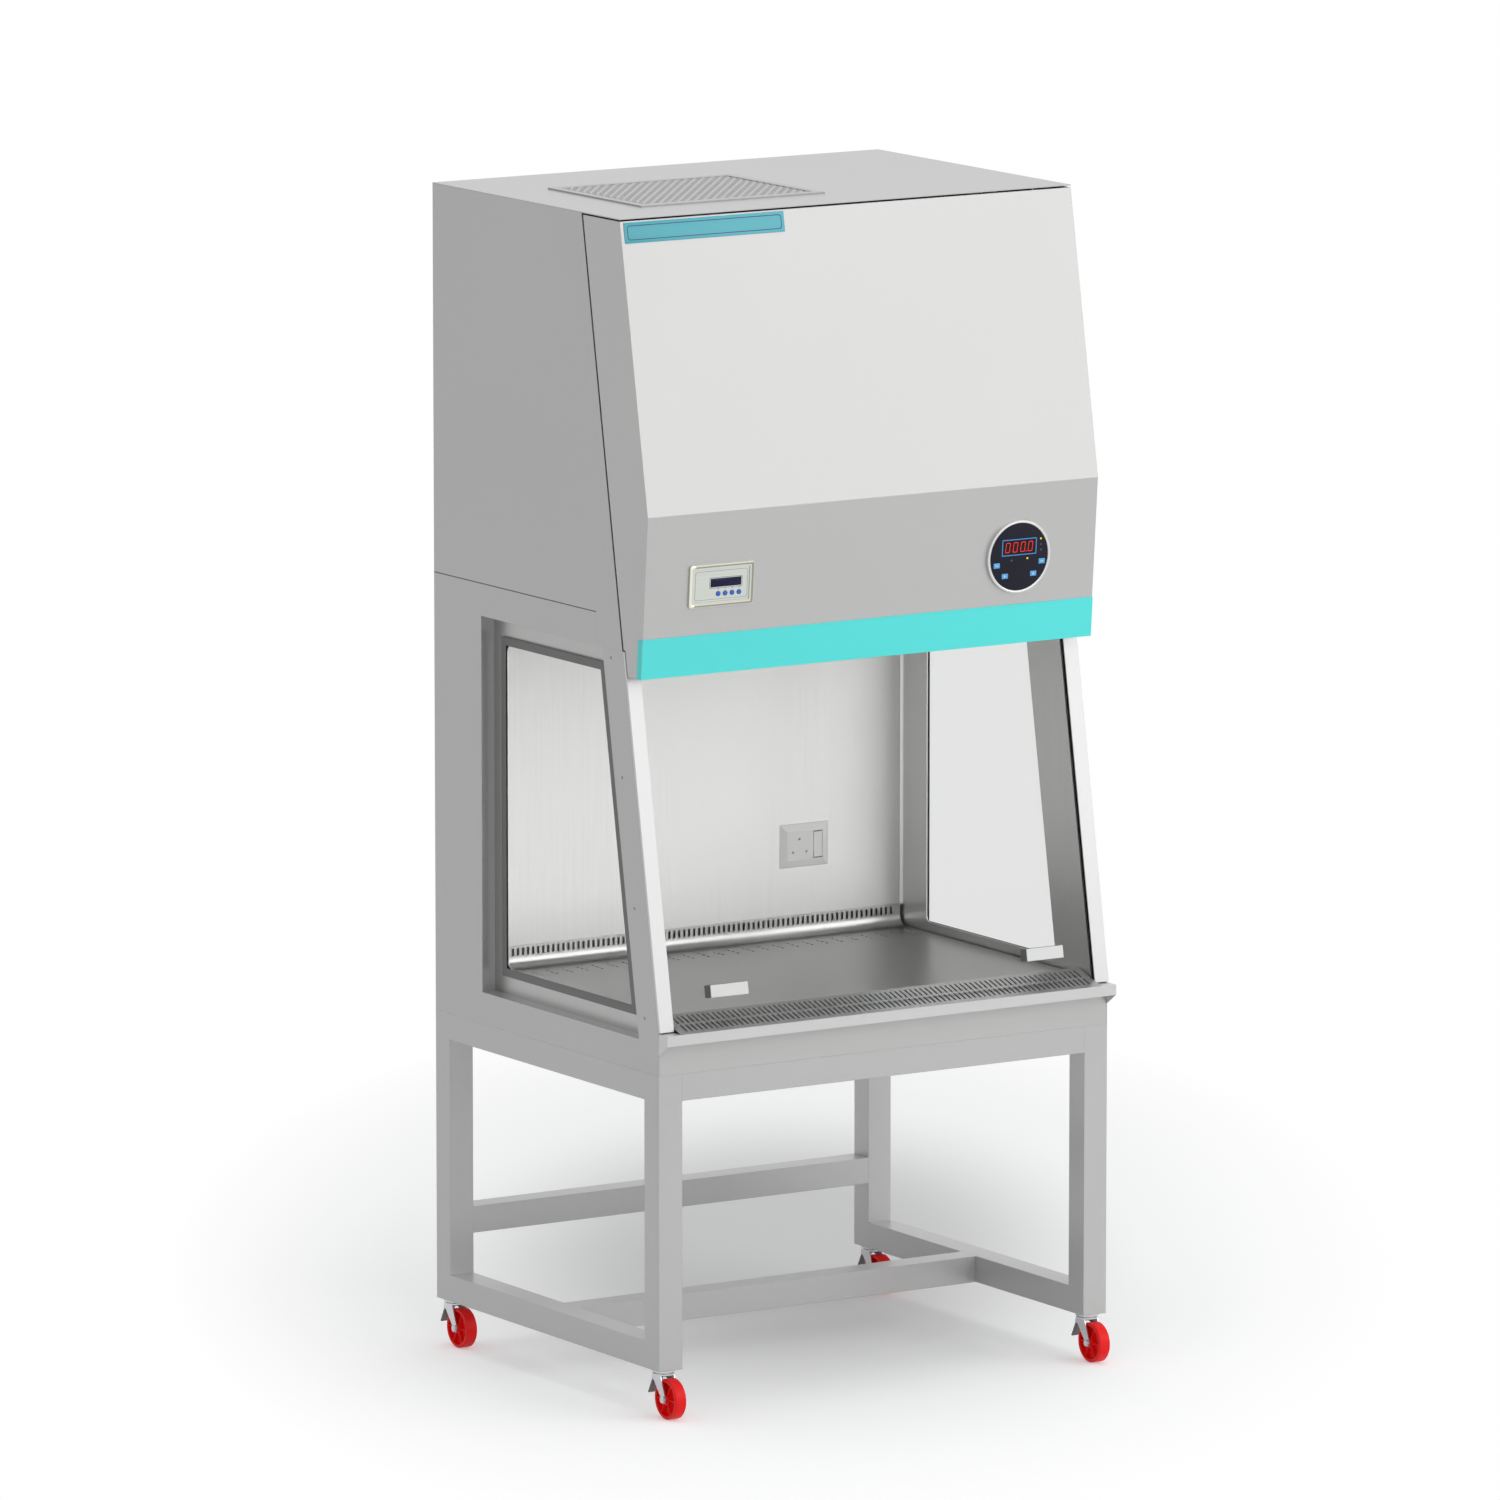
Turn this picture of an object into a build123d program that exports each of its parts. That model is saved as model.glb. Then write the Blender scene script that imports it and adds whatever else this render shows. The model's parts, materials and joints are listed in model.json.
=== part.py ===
"""Biosafety cabinet on a wheeled stand, built from its separate pieces.

Millimetres. The origin is on the floor, under the middle of the cabinet.
X runs to the right, Y to the back and Z up. The sloping front faces -Y.
"""
import os
from math import cos, pi, radians, sin, tan

from build123d import *

os.makedirs("parts", exist_ok=True)

# ---------------------------------------------------------------- driving sizes
# Whole cabinet
cabinet_width = 980.0
cabinet_depth = 790.0
caster_height = 90.0
stand_height = 549.0        # legs and rails, up to the cabinet's base sheet
body_height = 827.0         # base sheet to the seam under the upper casing
casing_height = 728.0       # seam to the top sheet
sill_height = 78.5          # base sheet to the top of the armrest
hood_bottom_height = 642.8  # armrest top to the lower edge of the hood
front_slope = radians(10)   # the sash and the front edges lean back
sill_lead = 5.0             # the sloping front's foot, in front of the casing

# Sheets and fits
skin = 2.0                  # painted steel
liner = 2.0                 # stainless steel
wall_gap = 28.0             # outer skin's face to the chamber's face, less the liner
running_fit = 0.05          # radial clearance of a shaft in its bore
free_gap = 0.5              # between pieces that slide past each other
seat_gap = 0.3              # between a moving piece and the one that carries it

# Stand
tube = 50.0
tube_wall = 2.0
stretcher_height = 151.0    # middle of the rear stretcher above the legs' feet
crossbar_setback = 4.5      # middle of the low cross bar, in front of the middle

# Casters
wheel_radius = 37.5
wheel_width = 23.0
wheel_trail = 24.0
axle_radius = 4.0
kingpin_radius = 5.0
race_radius = 20.0
fork_sheet = 2.5
brake_pin_radius = 2.0
brake_barrel_radius = 4.0
caster_gap = 1.0            # wheel to fork, and brake to crown
rivet_width = 2.5           # kingpin's rivet outside the pin
rivet_thickness = 1.5
leg_front = 12.0            # fork leg's top, in front of the kingpin and behind it
leg_rear = 14.0
ear_reach = 17.0            # ear for the brake's pivot
ear_drop = 4.0
heel_reach = 9.0
heel_drop = 6.0
axle_boss = 7.0             # the leg's round end
axle_proud = 1.5
tread_chamfer = 1.5
rim_thickness = 6.0
hub_radius = 10.0
hub_step = 2.0
web_half = 3.0
rib_count = 6
rib_sheet = 2.0
rib_setback = 1.5           # ribs and hub, inside the rim's sides
brake_side_gap = 1.0        # blade inside the wheel's width

# Armrest and air grille
armrest_overhang = 30.0
armrest_height = 20.0
armrest_ear_drop = 40.5
grille_run = 76.0           # horizontal run of the sloping grille
grille_rise = 23.5
grille_drop = 11.0          # step down behind it to the dished work surface
slot_pitch = 11.0
slot_width = 4.0
grille_slot_length = 27.0
grille_row_pitch = 32.0

# Chamber
duct_depth = 133.0          # return duct and rear panel, behind the stainless back wall
cove_radius = 22.0
upstand_height = 41.0
upstand_slot_width = 5.0
upstand_slot_height = 14.0
rear_slot_length = 12.0
rear_slot_rows = 3
rear_slot_row_pitch = 16.0
pan_depth = 60.0

# Side windows
window_rear_inset = 219.0   # casing's back to the inner opening's rear edge
window_front_behind = 126.0 # inner opening's front edge, behind the sloping front
window_sill = 30.5          # above the armrest top
window_height = 607.0
window_corner = 12.0
window_reveal = 50.0        # the outer opening is this much larger all round
pane_thickness = 5.0
pane_margin = 15.0

# Sash
glass_thickness = 6.0
glass_behind = 4.5          # glass face behind the posts' face
glass_height = 690.0
glass_lift = 15.0           # its lower edge above the armrest, along the slope
guide_depth = 16.0
guide_lip = 2.0
post_width = 30.0
post_depth = 34.0
panel_edge_behind = 6.3     # outer side panels' front edge behind the posts' face
sash_travel = 430.0
handle_width = 80.0
handle_height = 23.0
handle_projection = 22.0
handle_inset = 115.5        # each handle's middle from the chamber's side
handle_along = 56.5         # its lower edge above the armrest, along the slope

# Counterbalance
cable_radius = 1.5
cable_inset = 20.0          # from the chamber's side
pulley_radius = 30.0        # to the cable's middle
pulley_behind = 60.0
pulley_along = 1327.0
pulley_width = 12.0
shaft_radius = 6.0
weight_gap = 5.0            # each end, to the chamber's side
weight_depth = 36.0
weight_height = 42.0

# Hood
hood_top_inset = 133.0      # casing's front to the hood's top edge, fold and lower edge
hood_fold_inset = 37.0
hood_bottom_inset = 60.7
hood_fold_drop = 534.0      # top sheet to the fold
hood_side_gap = 1.0
band_height = 74.0
band_wrap = 15.0
band_thickness = 1.0
hinge_pin_radius = 1.5
hinge_barrel_radius = 2.6
hinge_drop = 6.0            # pin's middle under the top sheet
hinge_setback = 5.0         # pin's middle behind the hood's outer face
hinge_edge_rise = 3.0       # hood's top edge above the pin's middle
hinge_length = 60.0
hinge_inset = 190.0         # hinge's middle from the cabinet's side

# Control panel and gauge, on the hood's lower face
panel_width = 138.0
panel_height = 79.0
panel_raise = 4.0
panel_rim = 9.0
panel_inset = 163.0         # panel's middle from the cabinet's side
panel_up = 165.0            # panel's middle above the hood's lower edge
screen_width = 66.0
screen_height = 16.0
button_radius = 4.5
button_pitch = 14.8
button_travel = 1.0
button_raise = 2.0
gauge_radius = 68.5
gauge_raise = 7.0
gauge_bezel = 4.6           # the ring's width and the dial's depth
gauge_recess = 2.0
gauge_can_radius = 54.0
gauge_can_depth = 32.0
gauge_inset = 172.0         # gauge's middle from the cabinet's side

# Socket on the chamber's back wall
socket_inset = 220.5        # socket's middle from the chamber's side
socket_z = 903.0
socket_width = 108.0
socket_height = 83.0
socket_raise = 6.0
socket_bevel = 14.0
rocker_width = 20.0
rocker_height = 48.0
rocker_tilt = 6.0           # degrees, either way

# Upper casing's inner pieces
vent_inset = 126.0          # casing's left side to the exhaust grille
vent_width = 397.0
vent_length = 326.0
vent_back_inset = 203.0     # casing's back to the exhaust grille
top_grille_thickness = 3.0
exhaust_filter_height = 80.0
supply_filter_height = 70.0
filter_side_gap = 10.0      # supply filter's side to the chamber's side
filter_front_inset = 267.0  # casing's front to the supply filter
filter_back_gap = 12.0      # supply filter to the chamber's back
filter_lift = 24.0          # supply filter above the diffuser
plenum_inset = 350.0        # casing's front to the plenum
blower_offset = 60.0        # to the left of the middle
impeller_radius = 125.0
impeller_width = 118.0
blade_count = 24
inlet_radius = 104.0
motor_radius = 68.0
motor_length = 68.0
motor_shaft_radius = 8.0
lamp_end_gap = 50.0
lamp_radius = 14.0

# ---------------------------------------------------------------- worked-out levels
half_width = cabinet_width / 2
half_depth = cabinet_depth / 2
foot_z = caster_height
base_z = foot_z + stand_height
seam_z = base_z + body_height
top_z = seam_z + casing_height
sill_z = base_z + sill_height
sill_y = -half_depth - sill_lead
inside_skin = half_width - skin
chamber_half = half_width - wall_gap - liner
work_z = sill_z + grille_rise - grille_drop
hood_bottom_z = sill_z + hood_bottom_height
leg_x = half_width - tube / 2
blower_x = -blower_offset
chamber_back = half_depth - duct_depth
window_rear = half_depth - window_rear_inset
handle_spread = chamber_half - handle_inset
cable_spread = chamber_half - cable_inset
hood_top_y = -half_depth + hood_top_inset
hood_fold_y = -half_depth + hood_fold_inset
hood_bottom_y = -half_depth + hood_bottom_inset
hinge_spread = half_width - hinge_inset
panel_x = panel_inset - half_width
gauge_x = half_width - gauge_inset
socket_x = chamber_half - socket_inset
grille_left = vent_inset - half_width
grille_right = grille_left + vent_width
grille_back = half_depth - vent_back_inset
grille_front = grille_back - vent_length
supply_filter_half_width = chamber_half - filter_side_gap
filter_front = -half_depth + filter_front_inset
filter_back = chamber_back - filter_back_gap
plenum_front = -half_depth + plenum_inset
lamp_length = 2 * (chamber_half - lamp_end_gap)
leg_y = half_depth - tube / 2


def front_y(z, behind=0.0):
    """Y at height z of the plane that lies `behind` mm behind the posts' face."""
    return sill_y + (z - sill_z) * tan(front_slope) + behind / cos(front_slope)


def slope_plane(behind=0.0):
    """Plane parallel to the sash: local x to the right, local y up the slope."""
    return Plane(
        origin=(0, sill_y + behind * cos(front_slope), sill_z - behind * sin(front_slope)),
        x_dir=(1, 0, 0),
        z_dir=(0, -cos(front_slope), sin(front_slope)),
    )


def slope_section(x):
    """Plane square to X: local x runs back from the posts' face, local y up the slope."""
    return Plane(
        origin=(x, sill_y, sill_z),
        x_dir=(0, cos(front_slope), -sin(front_slope)),
        z_dir=(1, 0, 0),
    )


def side_section(x):
    """Plane square to X: local x is Y, local y is Z."""
    return Plane(origin=(x, 0, 0), x_dir=(0, 1, 0), z_dir=(1, 0, 0))


def profile(plane, *points):
    """A closed straight-sided profile on a plane."""
    with BuildSketch(plane) as drawn:
        with BuildLine():
            Polyline(*points, close=True)
        make_face()
    return drawn.sketch


def rectangle(plane, low_x, high_x, low_y, high_y):
    """A rectangle between two corners on a plane."""
    return profile(plane, (low_x, low_y), (high_x, low_y), (high_x, high_y), (low_x, high_y))


def save(solid, name):
    """Labels a finished piece and writes its STEP file."""
    solid.label = name
    export_step(solid, f"parts/{name}.step")


def save_pair(solid, name):
    """Writes a left-hand piece and its mirror image on the right."""
    save(solid, f"left_{name}")
    save(mirror(solid, about=Plane.YZ), f"right_{name}")


# ---------------------------------------------------------------- stand
# Side frame: a welded ring of tube. The legs' feet are closed but for the stem holes.
with BuildPart() as stand_frame:
    stand_low = foot_z
    stand_high = base_z
    ring_plane = side_section(-half_width)
    extrude(rectangle(ring_plane, -half_depth, half_depth, stand_low, stand_high), amount=tube)
    extrude(
        rectangle(ring_plane, -half_depth + tube, half_depth - tube, stand_low + tube, stand_high - tube),
        amount=tube,
        mode=Mode.SUBTRACT,
    )
    with BuildSketch(side_section(-half_width + tube_wall)) as bore:
        with Locations((0, (stand_low + stand_high) / 2)):
            Rectangle(cabinet_depth - 2 * tube_wall, stand_height - 2 * tube_wall)
            Rectangle(
                cabinet_depth - 2 * tube + 2 * tube_wall,
                stand_height - 2 * tube + 2 * tube_wall,
                mode=Mode.SUBTRACT,
            )
    extrude(amount=tube - 2 * tube_wall, mode=Mode.SUBTRACT)
    with BuildSketch(Plane.XY.offset(stand_low)) as stem_holes:
        with Locations((-leg_x, -leg_y), (-leg_x, leg_y)):
            Circle(kingpin_radius + free_gap)
    extrude(amount=tube_wall, mode=Mode.SUBTRACT)
save_pair(stand_frame.part, "stand_frame")

# Cross tubes: front and rear top rails, rear stretcher, low cross bar.
with BuildPart() as stand_cross_tubes:
    top_rail_z = base_z - tube / 2
    with BuildSketch(side_section(-half_width + tube)) as cross_ends:
        with Locations(
            (-leg_y, top_rail_z),
            (leg_y, top_rail_z),
            (leg_y, foot_z + stretcher_height),
            (-crossbar_setback, foot_z + tube / 2),
        ):
            Rectangle(tube, tube)
            Rectangle(tube - 2 * tube_wall, tube - 2 * tube_wall, mode=Mode.SUBTRACT)
    extrude(amount=cabinet_width - 2 * tube)
save(stand_cross_tubes.part, "stand_cross_tubes")

# ---------------------------------------------------------------- casters
plate_thickness = 4.0
plate_lip = 2.0
race_step = 3.0
race_thickness = 3.0
crown_thickness = 3.0
crown_top = foot_z - plate_thickness - race_thickness - seat_gap
crown_bottom = crown_top - crown_thickness
fork_inside = wheel_width / 2 + free_gap + caster_gap
brake_pivot_y = 14.0
brake_pivot_z = crown_bottom - brake_barrel_radius - caster_gap
brake_tip_y = 36.0
brake_tip_z = foot_z - 50.0
corners = {
    "front_left": (-leg_x, -leg_y),
    "front_right": (leg_x, -leg_y),
    "rear_left": (-leg_x, leg_y),
    "rear_right": (leg_x, leg_y),
}

# Top plates, ball races and kingpins, one set under each leg.
with BuildPart() as caster_plates:
    with BuildSketch(Plane.XY.offset(foot_z)) as plate_outline:
        with Locations(*corners.values()):
            Circle(race_radius + plate_lip)
    extrude(amount=-plate_thickness)
    with BuildSketch(Plane.XY.offset(foot_z - plate_thickness)) as race_outline:
        with Locations(*corners.values()):
            Circle(race_radius - race_step)
    extrude(amount=-race_thickness)
    with BuildSketch(Plane.XY.offset(foot_z + 2 * plate_thickness)) as pin_outline:
        with Locations(*corners.values()):
            Circle(kingpin_radius)
    extrude(amount=-(foot_z + 2 * plate_thickness - crown_bottom + seat_gap))
    with BuildSketch(Plane.XY.offset(crown_bottom - seat_gap)) as rivet_outline:
        with Locations(*corners.values()):
            Circle(kingpin_radius + rivet_width)
    extrude(amount=-rivet_thickness)
save(caster_plates.part, "caster_plates")


def caster_fork(x, y):
    """Swivel fork: crown, two legs, riveted axle and the brake's pivot pin."""
    with BuildPart() as fork:
        with BuildSketch(Plane.XY.offset(crown_top)):
            with Locations((x, y)):
                Circle(race_radius)
                Circle(kingpin_radius + running_fit, mode=Mode.SUBTRACT)
        extrude(amount=-crown_thickness)
        for low_x in (x - fork_inside - fork_sheet, x + fork_inside):
            with BuildSketch(side_section(low_x)) as leg:
                with BuildLine():
                    Polyline(
                        (y - leg_front, crown_top),
                        (y + leg_rear, crown_top),
                        (y + ear_reach, brake_pivot_z - ear_drop),
                        (y + heel_reach, brake_pivot_z - heel_drop),
                        (y - wheel_trail + axle_boss, wheel_radius),
                        (y - wheel_trail - axle_boss, wheel_radius),
                        close=True,
                    )
                make_face()
                with Locations((y - wheel_trail, wheel_radius)):
                    Circle(axle_boss)
            extrude(amount=fork_sheet)
        reach = fork_inside + fork_sheet + axle_proud
        with BuildSketch(side_section(x - reach)) as axle:
            with Locations((y - wheel_trail, wheel_radius)):
                Circle(axle_radius)
        extrude(amount=2 * reach)
        with BuildSketch(side_section(x - fork_inside)) as pivot:
            with Locations((y + brake_pivot_y, brake_pivot_z)):
                Circle(brake_pin_radius)
        extrude(amount=2 * fork_inside)
    return fork.part


def caster_wheel(x, y):
    """Wheel with a recessed web, six ribs and a bored hub."""
    rim_inner = wheel_radius - rim_thickness
    with BuildPart() as wheel:
        axis_plane = Plane(origin=(x, y - wheel_trail, wheel_radius), x_dir=(0, 1, 0), z_dir=(1, 0, 0))
        with BuildSketch(axis_plane.offset(-wheel_width / 2)) as rim:
            Circle(wheel_radius)
            Circle(rim_inner, mode=Mode.SUBTRACT)
        extrude(amount=wheel_width)
        chamfer(wheel.edges().filter_by(GeomType.CIRCLE).group_by(SortBy.RADIUS)[-1], length=tread_chamfer)
        with BuildSketch(axis_plane.offset(-web_half)) as web:
            Circle(rim_inner + rim_thickness / 4)
        extrude(amount=2 * web_half)
        with BuildSketch(axis_plane.offset(-wheel_width / 2 + rib_setback)) as ribs:
            with PolarLocations(0, rib_count):
                Rectangle(rim_inner + rim_thickness / 4, rib_sheet, align=(Align.MIN, Align.CENTER))
            Circle(hub_radius)
        extrude(amount=wheel_width - 2 * rib_setback)
        with BuildSketch(axis_plane.offset(-fork_inside + seat_gap)) as hub:
            Circle(hub_radius - hub_step)
        extrude(amount=2 * (fork_inside - seat_gap))
        with BuildSketch(axis_plane.offset(-fork_inside)) as bore:
            Circle(axle_radius + running_fit)
        extrude(amount=2 * fork_inside, mode=Mode.SUBTRACT)
    return wheel.part


def caster_brake(x, y):
    """Foot brake: a bent plate behind the wheel, hung on the fork's pivot pin."""
    half = wheel_width / 2 - brake_side_gap
    with BuildPart() as brake:
        with BuildSketch(side_section(x - half)) as blade:
            with BuildLine():
                Polyline(
                    (y + brake_pivot_y + 1.0, brake_pivot_z),
                    (y + brake_pivot_y + 4.5, brake_pivot_z + 2.0),
                    (y + brake_tip_y + 1.2, brake_tip_z + 1.5),
                    (y + brake_tip_y - 1.0, brake_tip_z),
                    close=True,
                )
            make_face()
            with Locations((y + brake_pivot_y, brake_pivot_z)):
                Circle(brake_barrel_radius)
                Circle(brake_pin_radius + running_fit, mode=Mode.SUBTRACT)
        extrude(amount=2 * half)
    return brake.part


for corner, (corner_x, corner_y) in corners.items():
    save(caster_fork(corner_x, corner_y), f"{corner}_caster_fork")
    save(caster_wheel(corner_x, corner_y), f"{corner}_caster_wheel")
    save(caster_brake(corner_x, corner_y), f"{corner}_caster_brake")

# ---------------------------------------------------------------- lower body
# Outer side panel: its front edge slopes, and its window is larger than the inner one.
tongue_y = -181.0           # the casing's side reaches down to the window in front of this
window_low_z = sill_z + window_sill
window_high_z = window_low_z + window_height
outer_low_z = window_low_z - window_reveal
outer_high_z = window_high_z + window_reveal
outer_rear = window_rear + window_reveal
outer_front_behind = window_front_behind - window_reveal


def outer_window(grow):
    """Corners of the outer window opening, grown all round."""
    low_z, high_z, behind = outer_low_z - grow, outer_high_z + grow, outer_front_behind - grow
    return (
        (front_y(low_z, behind), low_z),
        (outer_rear + grow, low_z),
        (outer_rear + grow, high_z),
        (front_y(high_z, behind), high_z),
    )


with BuildPart() as side_panel:
    extrude(
        profile(
            side_section(-half_width),
            (-half_depth, base_z),
            (half_depth, base_z),
            (half_depth, seam_z),
            (tongue_y, seam_z),
            (tongue_y, outer_high_z),
            (front_y(outer_high_z, panel_edge_behind), outer_high_z),
            (-half_depth, sill_z - (panel_edge_behind / cos(front_slope) - sill_lead) / tan(front_slope)),
        ),
        amount=skin,
    )
    extrude(profile(side_section(-inside_skin), *outer_window(skin)), amount=wall_gap - skin)
    extrude(profile(side_section(-half_width), *outer_window(0)), amount=wall_gap, mode=Mode.SUBTRACT)
save_pair(side_panel.part, "side_panel")

# Base sheet with the front apron folded up from it.
apron_top = sill_z - 9.5
with BuildPart() as base_shell:
    extrude(
        profile(
            side_section(-inside_skin),
            (-half_depth, base_z),
            (half_depth - skin, base_z),
            (half_depth - skin, base_z + skin),
            (-half_depth + skin, base_z + skin),
            (-half_depth + skin, apron_top),
            (-half_depth, apron_top),
        ),
        amount=2 * inside_skin,
    )
save(base_shell.part, "base_shell")

with BuildPart() as rear_panel:
    extrude(
        rectangle(Plane.XZ.offset(-half_depth), -inside_skin, inside_skin, base_z, seam_z),
        amount=skin,
    )
save(rear_panel.part, "rear_panel")

# Armrest: a lip in front of the sill with closed ears at both ends.
lip_y = -half_depth - armrest_overhang
with BuildPart() as armrest:
    extrude(
        rectangle(Plane.XZ.offset(-lip_y), -half_width, half_width, sill_z - armrest_height, sill_z),
        amount=-skin,
    )
    for ear_x in (-half_width, half_width - skin):
        extrude(
            profile(
                side_section(ear_x),
                (lip_y, sill_z),
                (-half_depth, sill_z),
                (-half_depth, sill_z - armrest_ear_drop),
                (lip_y, sill_z - armrest_height),
            ),
            amount=skin,
        )
    for pad_x in (-half_width, chamber_half):
        with BuildSketch(Plane.XY.offset(sill_z - skin)) as pad:
            with Locations((pad_x, lip_y)):
                Rectangle(post_width, armrest_overhang, align=Align.MIN)
        extrude(amount=skin)
save(armrest.part, "armrest")

# Front air grille: a sloping slotted sheet that steps down to the dished work surface.
grille_low_y = lip_y + skin
grille_high_y = grille_low_y + grille_run
grille_high_z = sill_z + grille_rise
grille_half = chamber_half - 2.0
slot_count = int((2 * grille_half - 2 * slot_pitch) / slot_pitch)
grille_plane = Plane(
    origin=(0, (grille_low_y + grille_high_y) / 2, (sill_z + grille_high_z) / 2),
    x_dir=(1, 0, 0),
    z_dir=(0, -grille_rise, grille_run),
)
with BuildPart() as front_grille:
    extrude(
        profile(
            side_section(-grille_half),
            (grille_low_y, sill_z),
            (grille_high_y, grille_high_z),
            (grille_high_y + liner, grille_high_z),
            (grille_high_y + liner, work_z),
            (grille_high_y, work_z),
            (grille_high_y, grille_high_z - liner),
            (grille_low_y, sill_z - liner),
        ),
        amount=2 * grille_half,
    )
    with BuildSketch(grille_plane) as intake_slots:
        with Locations((0, 1.0)):
            with GridLocations(slot_pitch, grille_row_pitch, slot_count, 2):
                Rectangle(slot_width, grille_slot_length)
    extrude(amount=2 * liner, both=True, mode=Mode.SUBTRACT)
save(front_grille.part, "front_grille")

# Work surface: a flat tray, coved up at the back into a slotted upstand.
tray_half = chamber_half - 5.0
tray_front = grille_high_y - 4.0
upstand_top = work_z + upstand_height
with BuildPart() as work_surface:
    with BuildSketch(side_section(-tray_half)) as tray_section:
        with BuildLine():
            Polyline(
                (chamber_back - cove_radius, work_z),
                (tray_front, work_z),
                (tray_front, work_z - liner),
                (chamber_back - cove_radius, work_z - liner),
            )
            CenterArc((chamber_back - cove_radius, work_z - liner + cove_radius), cove_radius, -90, 90)
            Polyline(
                (chamber_back, work_z - liner + cove_radius),
                (chamber_back, upstand_top),
                (chamber_back - liner, upstand_top),
                (chamber_back - liner, work_z - liner + cove_radius),
            )
            CenterArc((chamber_back - cove_radius, work_z - liner + cove_radius), cove_radius - liner, -90, 90)
        make_face()
    extrude(amount=2 * tray_half)
    with BuildSketch(Plane.XZ.offset(-chamber_back)) as upstand_slots:
        with Locations((0, upstand_top - 12.0)):
            with GridLocations(slot_pitch, 1, slot_count - 1, 1):
                Rectangle(upstand_slot_width, upstand_slot_height)
    extrude(amount=liner, mode=Mode.SUBTRACT)
    with BuildSketch(Plane.XY.offset(work_z - liner)) as rear_slots:
        with Locations((0, chamber_back - 78.0)):
            with GridLocations(3 * slot_pitch, rear_slot_row_pitch, slot_count // 3, rear_slot_rows):
                Rectangle(slot_width, rear_slot_length)
    extrude(amount=liner, mode=Mode.SUBTRACT)
save(work_surface.part, "work_surface")

# Drain pan: catches spills and leads the return air to the rear duct. Four welded feet.
pan_foot = 30.0
pan_top = work_z - liner
pan_rim = sill_z - 2 * liner
pan_low = pan_top - pan_depth
pan_front = -half_depth + 2 * skin
pan_rear = chamber_back - 1.5 * liner
with BuildPart() as drain_pan:
    with BuildSketch(Plane.XY.offset(pan_low)) as pan_outline:
        with Locations((0, (pan_front + pan_rear) / 2)):
            Rectangle(2 * tray_half, pan_rear - pan_front)
    extrude(amount=pan_rim - pan_low)
    with BuildSketch(Plane.XY.offset(pan_low + liner)) as pan_inside:
        with Locations((0, (pan_front + pan_rear) / 2)):
            Rectangle(2 * tray_half - 2 * liner, pan_rear - pan_front - 2 * liner)
    extrude(amount=pan_rim - pan_low, mode=Mode.SUBTRACT)
    for ledge_x in (-tray_half, tray_half - 5 * liner):
        with BuildSketch(Plane.XY.offset(pan_rim - liner)) as ledge:
            with Locations((ledge_x, tray_front)):
                Rectangle(5 * liner, chamber_back - cove_radius - tray_front, align=Align.MIN)
        extrude(amount=pan_top - pan_rim + liner)
    with BuildSketch(Plane.XZ.offset(-pan_rear)) as air_ports:
        with Locations((0, (pan_low + pan_rim) / 2)):
            with GridLocations(tray_half / 2, 1, 4, 1):
                Rectangle(tray_half / 2 - 40.0, pan_depth / 2)
    extrude(amount=2 * liner, mode=Mode.SUBTRACT)
    with BuildSketch(Plane.XY.offset(base_z + skin)) as pan_feet:
        with Locations((0, (pan_front + pan_rear) / 2)):
            with GridLocations(2 * tray_half - 3 * pan_foot, pan_rear - pan_front - 2 * pan_foot, 2, 2):
                Rectangle(pan_foot, pan_foot)
                Rectangle(pan_foot - 2 * skin, pan_foot - 2 * skin, mode=Mode.SUBTRACT)
    extrude(amount=pan_low - base_z - skin)
save(drain_pan.part, "drain_pan")

# Stainless side wall of the chamber, with a round-cornered window and welded stand-offs
# that tie it to the outer side panel.
standoff = 24.0
wall_low_z = base_z + skin
liner_behind = glass_behind + glass_thickness + guide_lip + 2 * free_gap + 0.5
ceiling_z = seam_z
with BuildPart() as inner_wall:
    extrude(
        profile(
            side_section(-chamber_half - liner),
            (pan_front + liner, wall_low_z),
            (chamber_back, wall_low_z),
            (chamber_back, ceiling_z),
            (front_y(ceiling_z, liner_behind), ceiling_z),
            (front_y(sill_z, liner_behind), sill_z),
            (pan_front + liner, sill_z - 2 * liner),
        ),
        amount=liner,
    )
    with BuildSketch(side_section(-chamber_half - liner)) as window_outline:
        with BuildLine():
            Polyline(
                (front_y(window_low_z, window_front_behind), window_low_z),
                (window_rear, window_low_z),
                (window_rear, window_high_z),
                (front_y(window_high_z, window_front_behind), window_high_z),
                close=True,
            )
        make_face()
        fillet(window_outline.vertices(), radius=window_corner)
    extrude(amount=liner, mode=Mode.SUBTRACT)
    with BuildSketch(side_section(-inside_skin)) as standoff_ends:
        for standoff_y in (chamber_back - standoff / 2, tongue_y + 2 * standoff):
            with Locations((standoff_y, ceiling_z - standoff), (standoff_y, base_z + 1.2 * standoff)):
                Rectangle(standoff, standoff)
    extrude(amount=wall_gap - skin)
save_pair(inner_wall.part, "inner_wall")

# Side window panes, bonded to the outer faces of the chamber's side walls.
with BuildPart() as side_windows:
    for pane_x in (-chamber_half - liner - pane_thickness, chamber_half + liner):
        pane_front_behind = window_front_behind - pane_margin
        extrude(
            profile(
                side_section(pane_x),
                (front_y(window_low_z - pane_margin, pane_front_behind), window_low_z - pane_margin),
                (window_rear + pane_margin, window_low_z - pane_margin),
                (window_rear + pane_margin, window_high_z + pane_margin),
                (front_y(window_high_z + pane_margin, pane_front_behind), window_high_z + pane_margin),
            ),
            amount=pane_thickness,
        )
save(side_windows.part, "side_windows")

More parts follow.
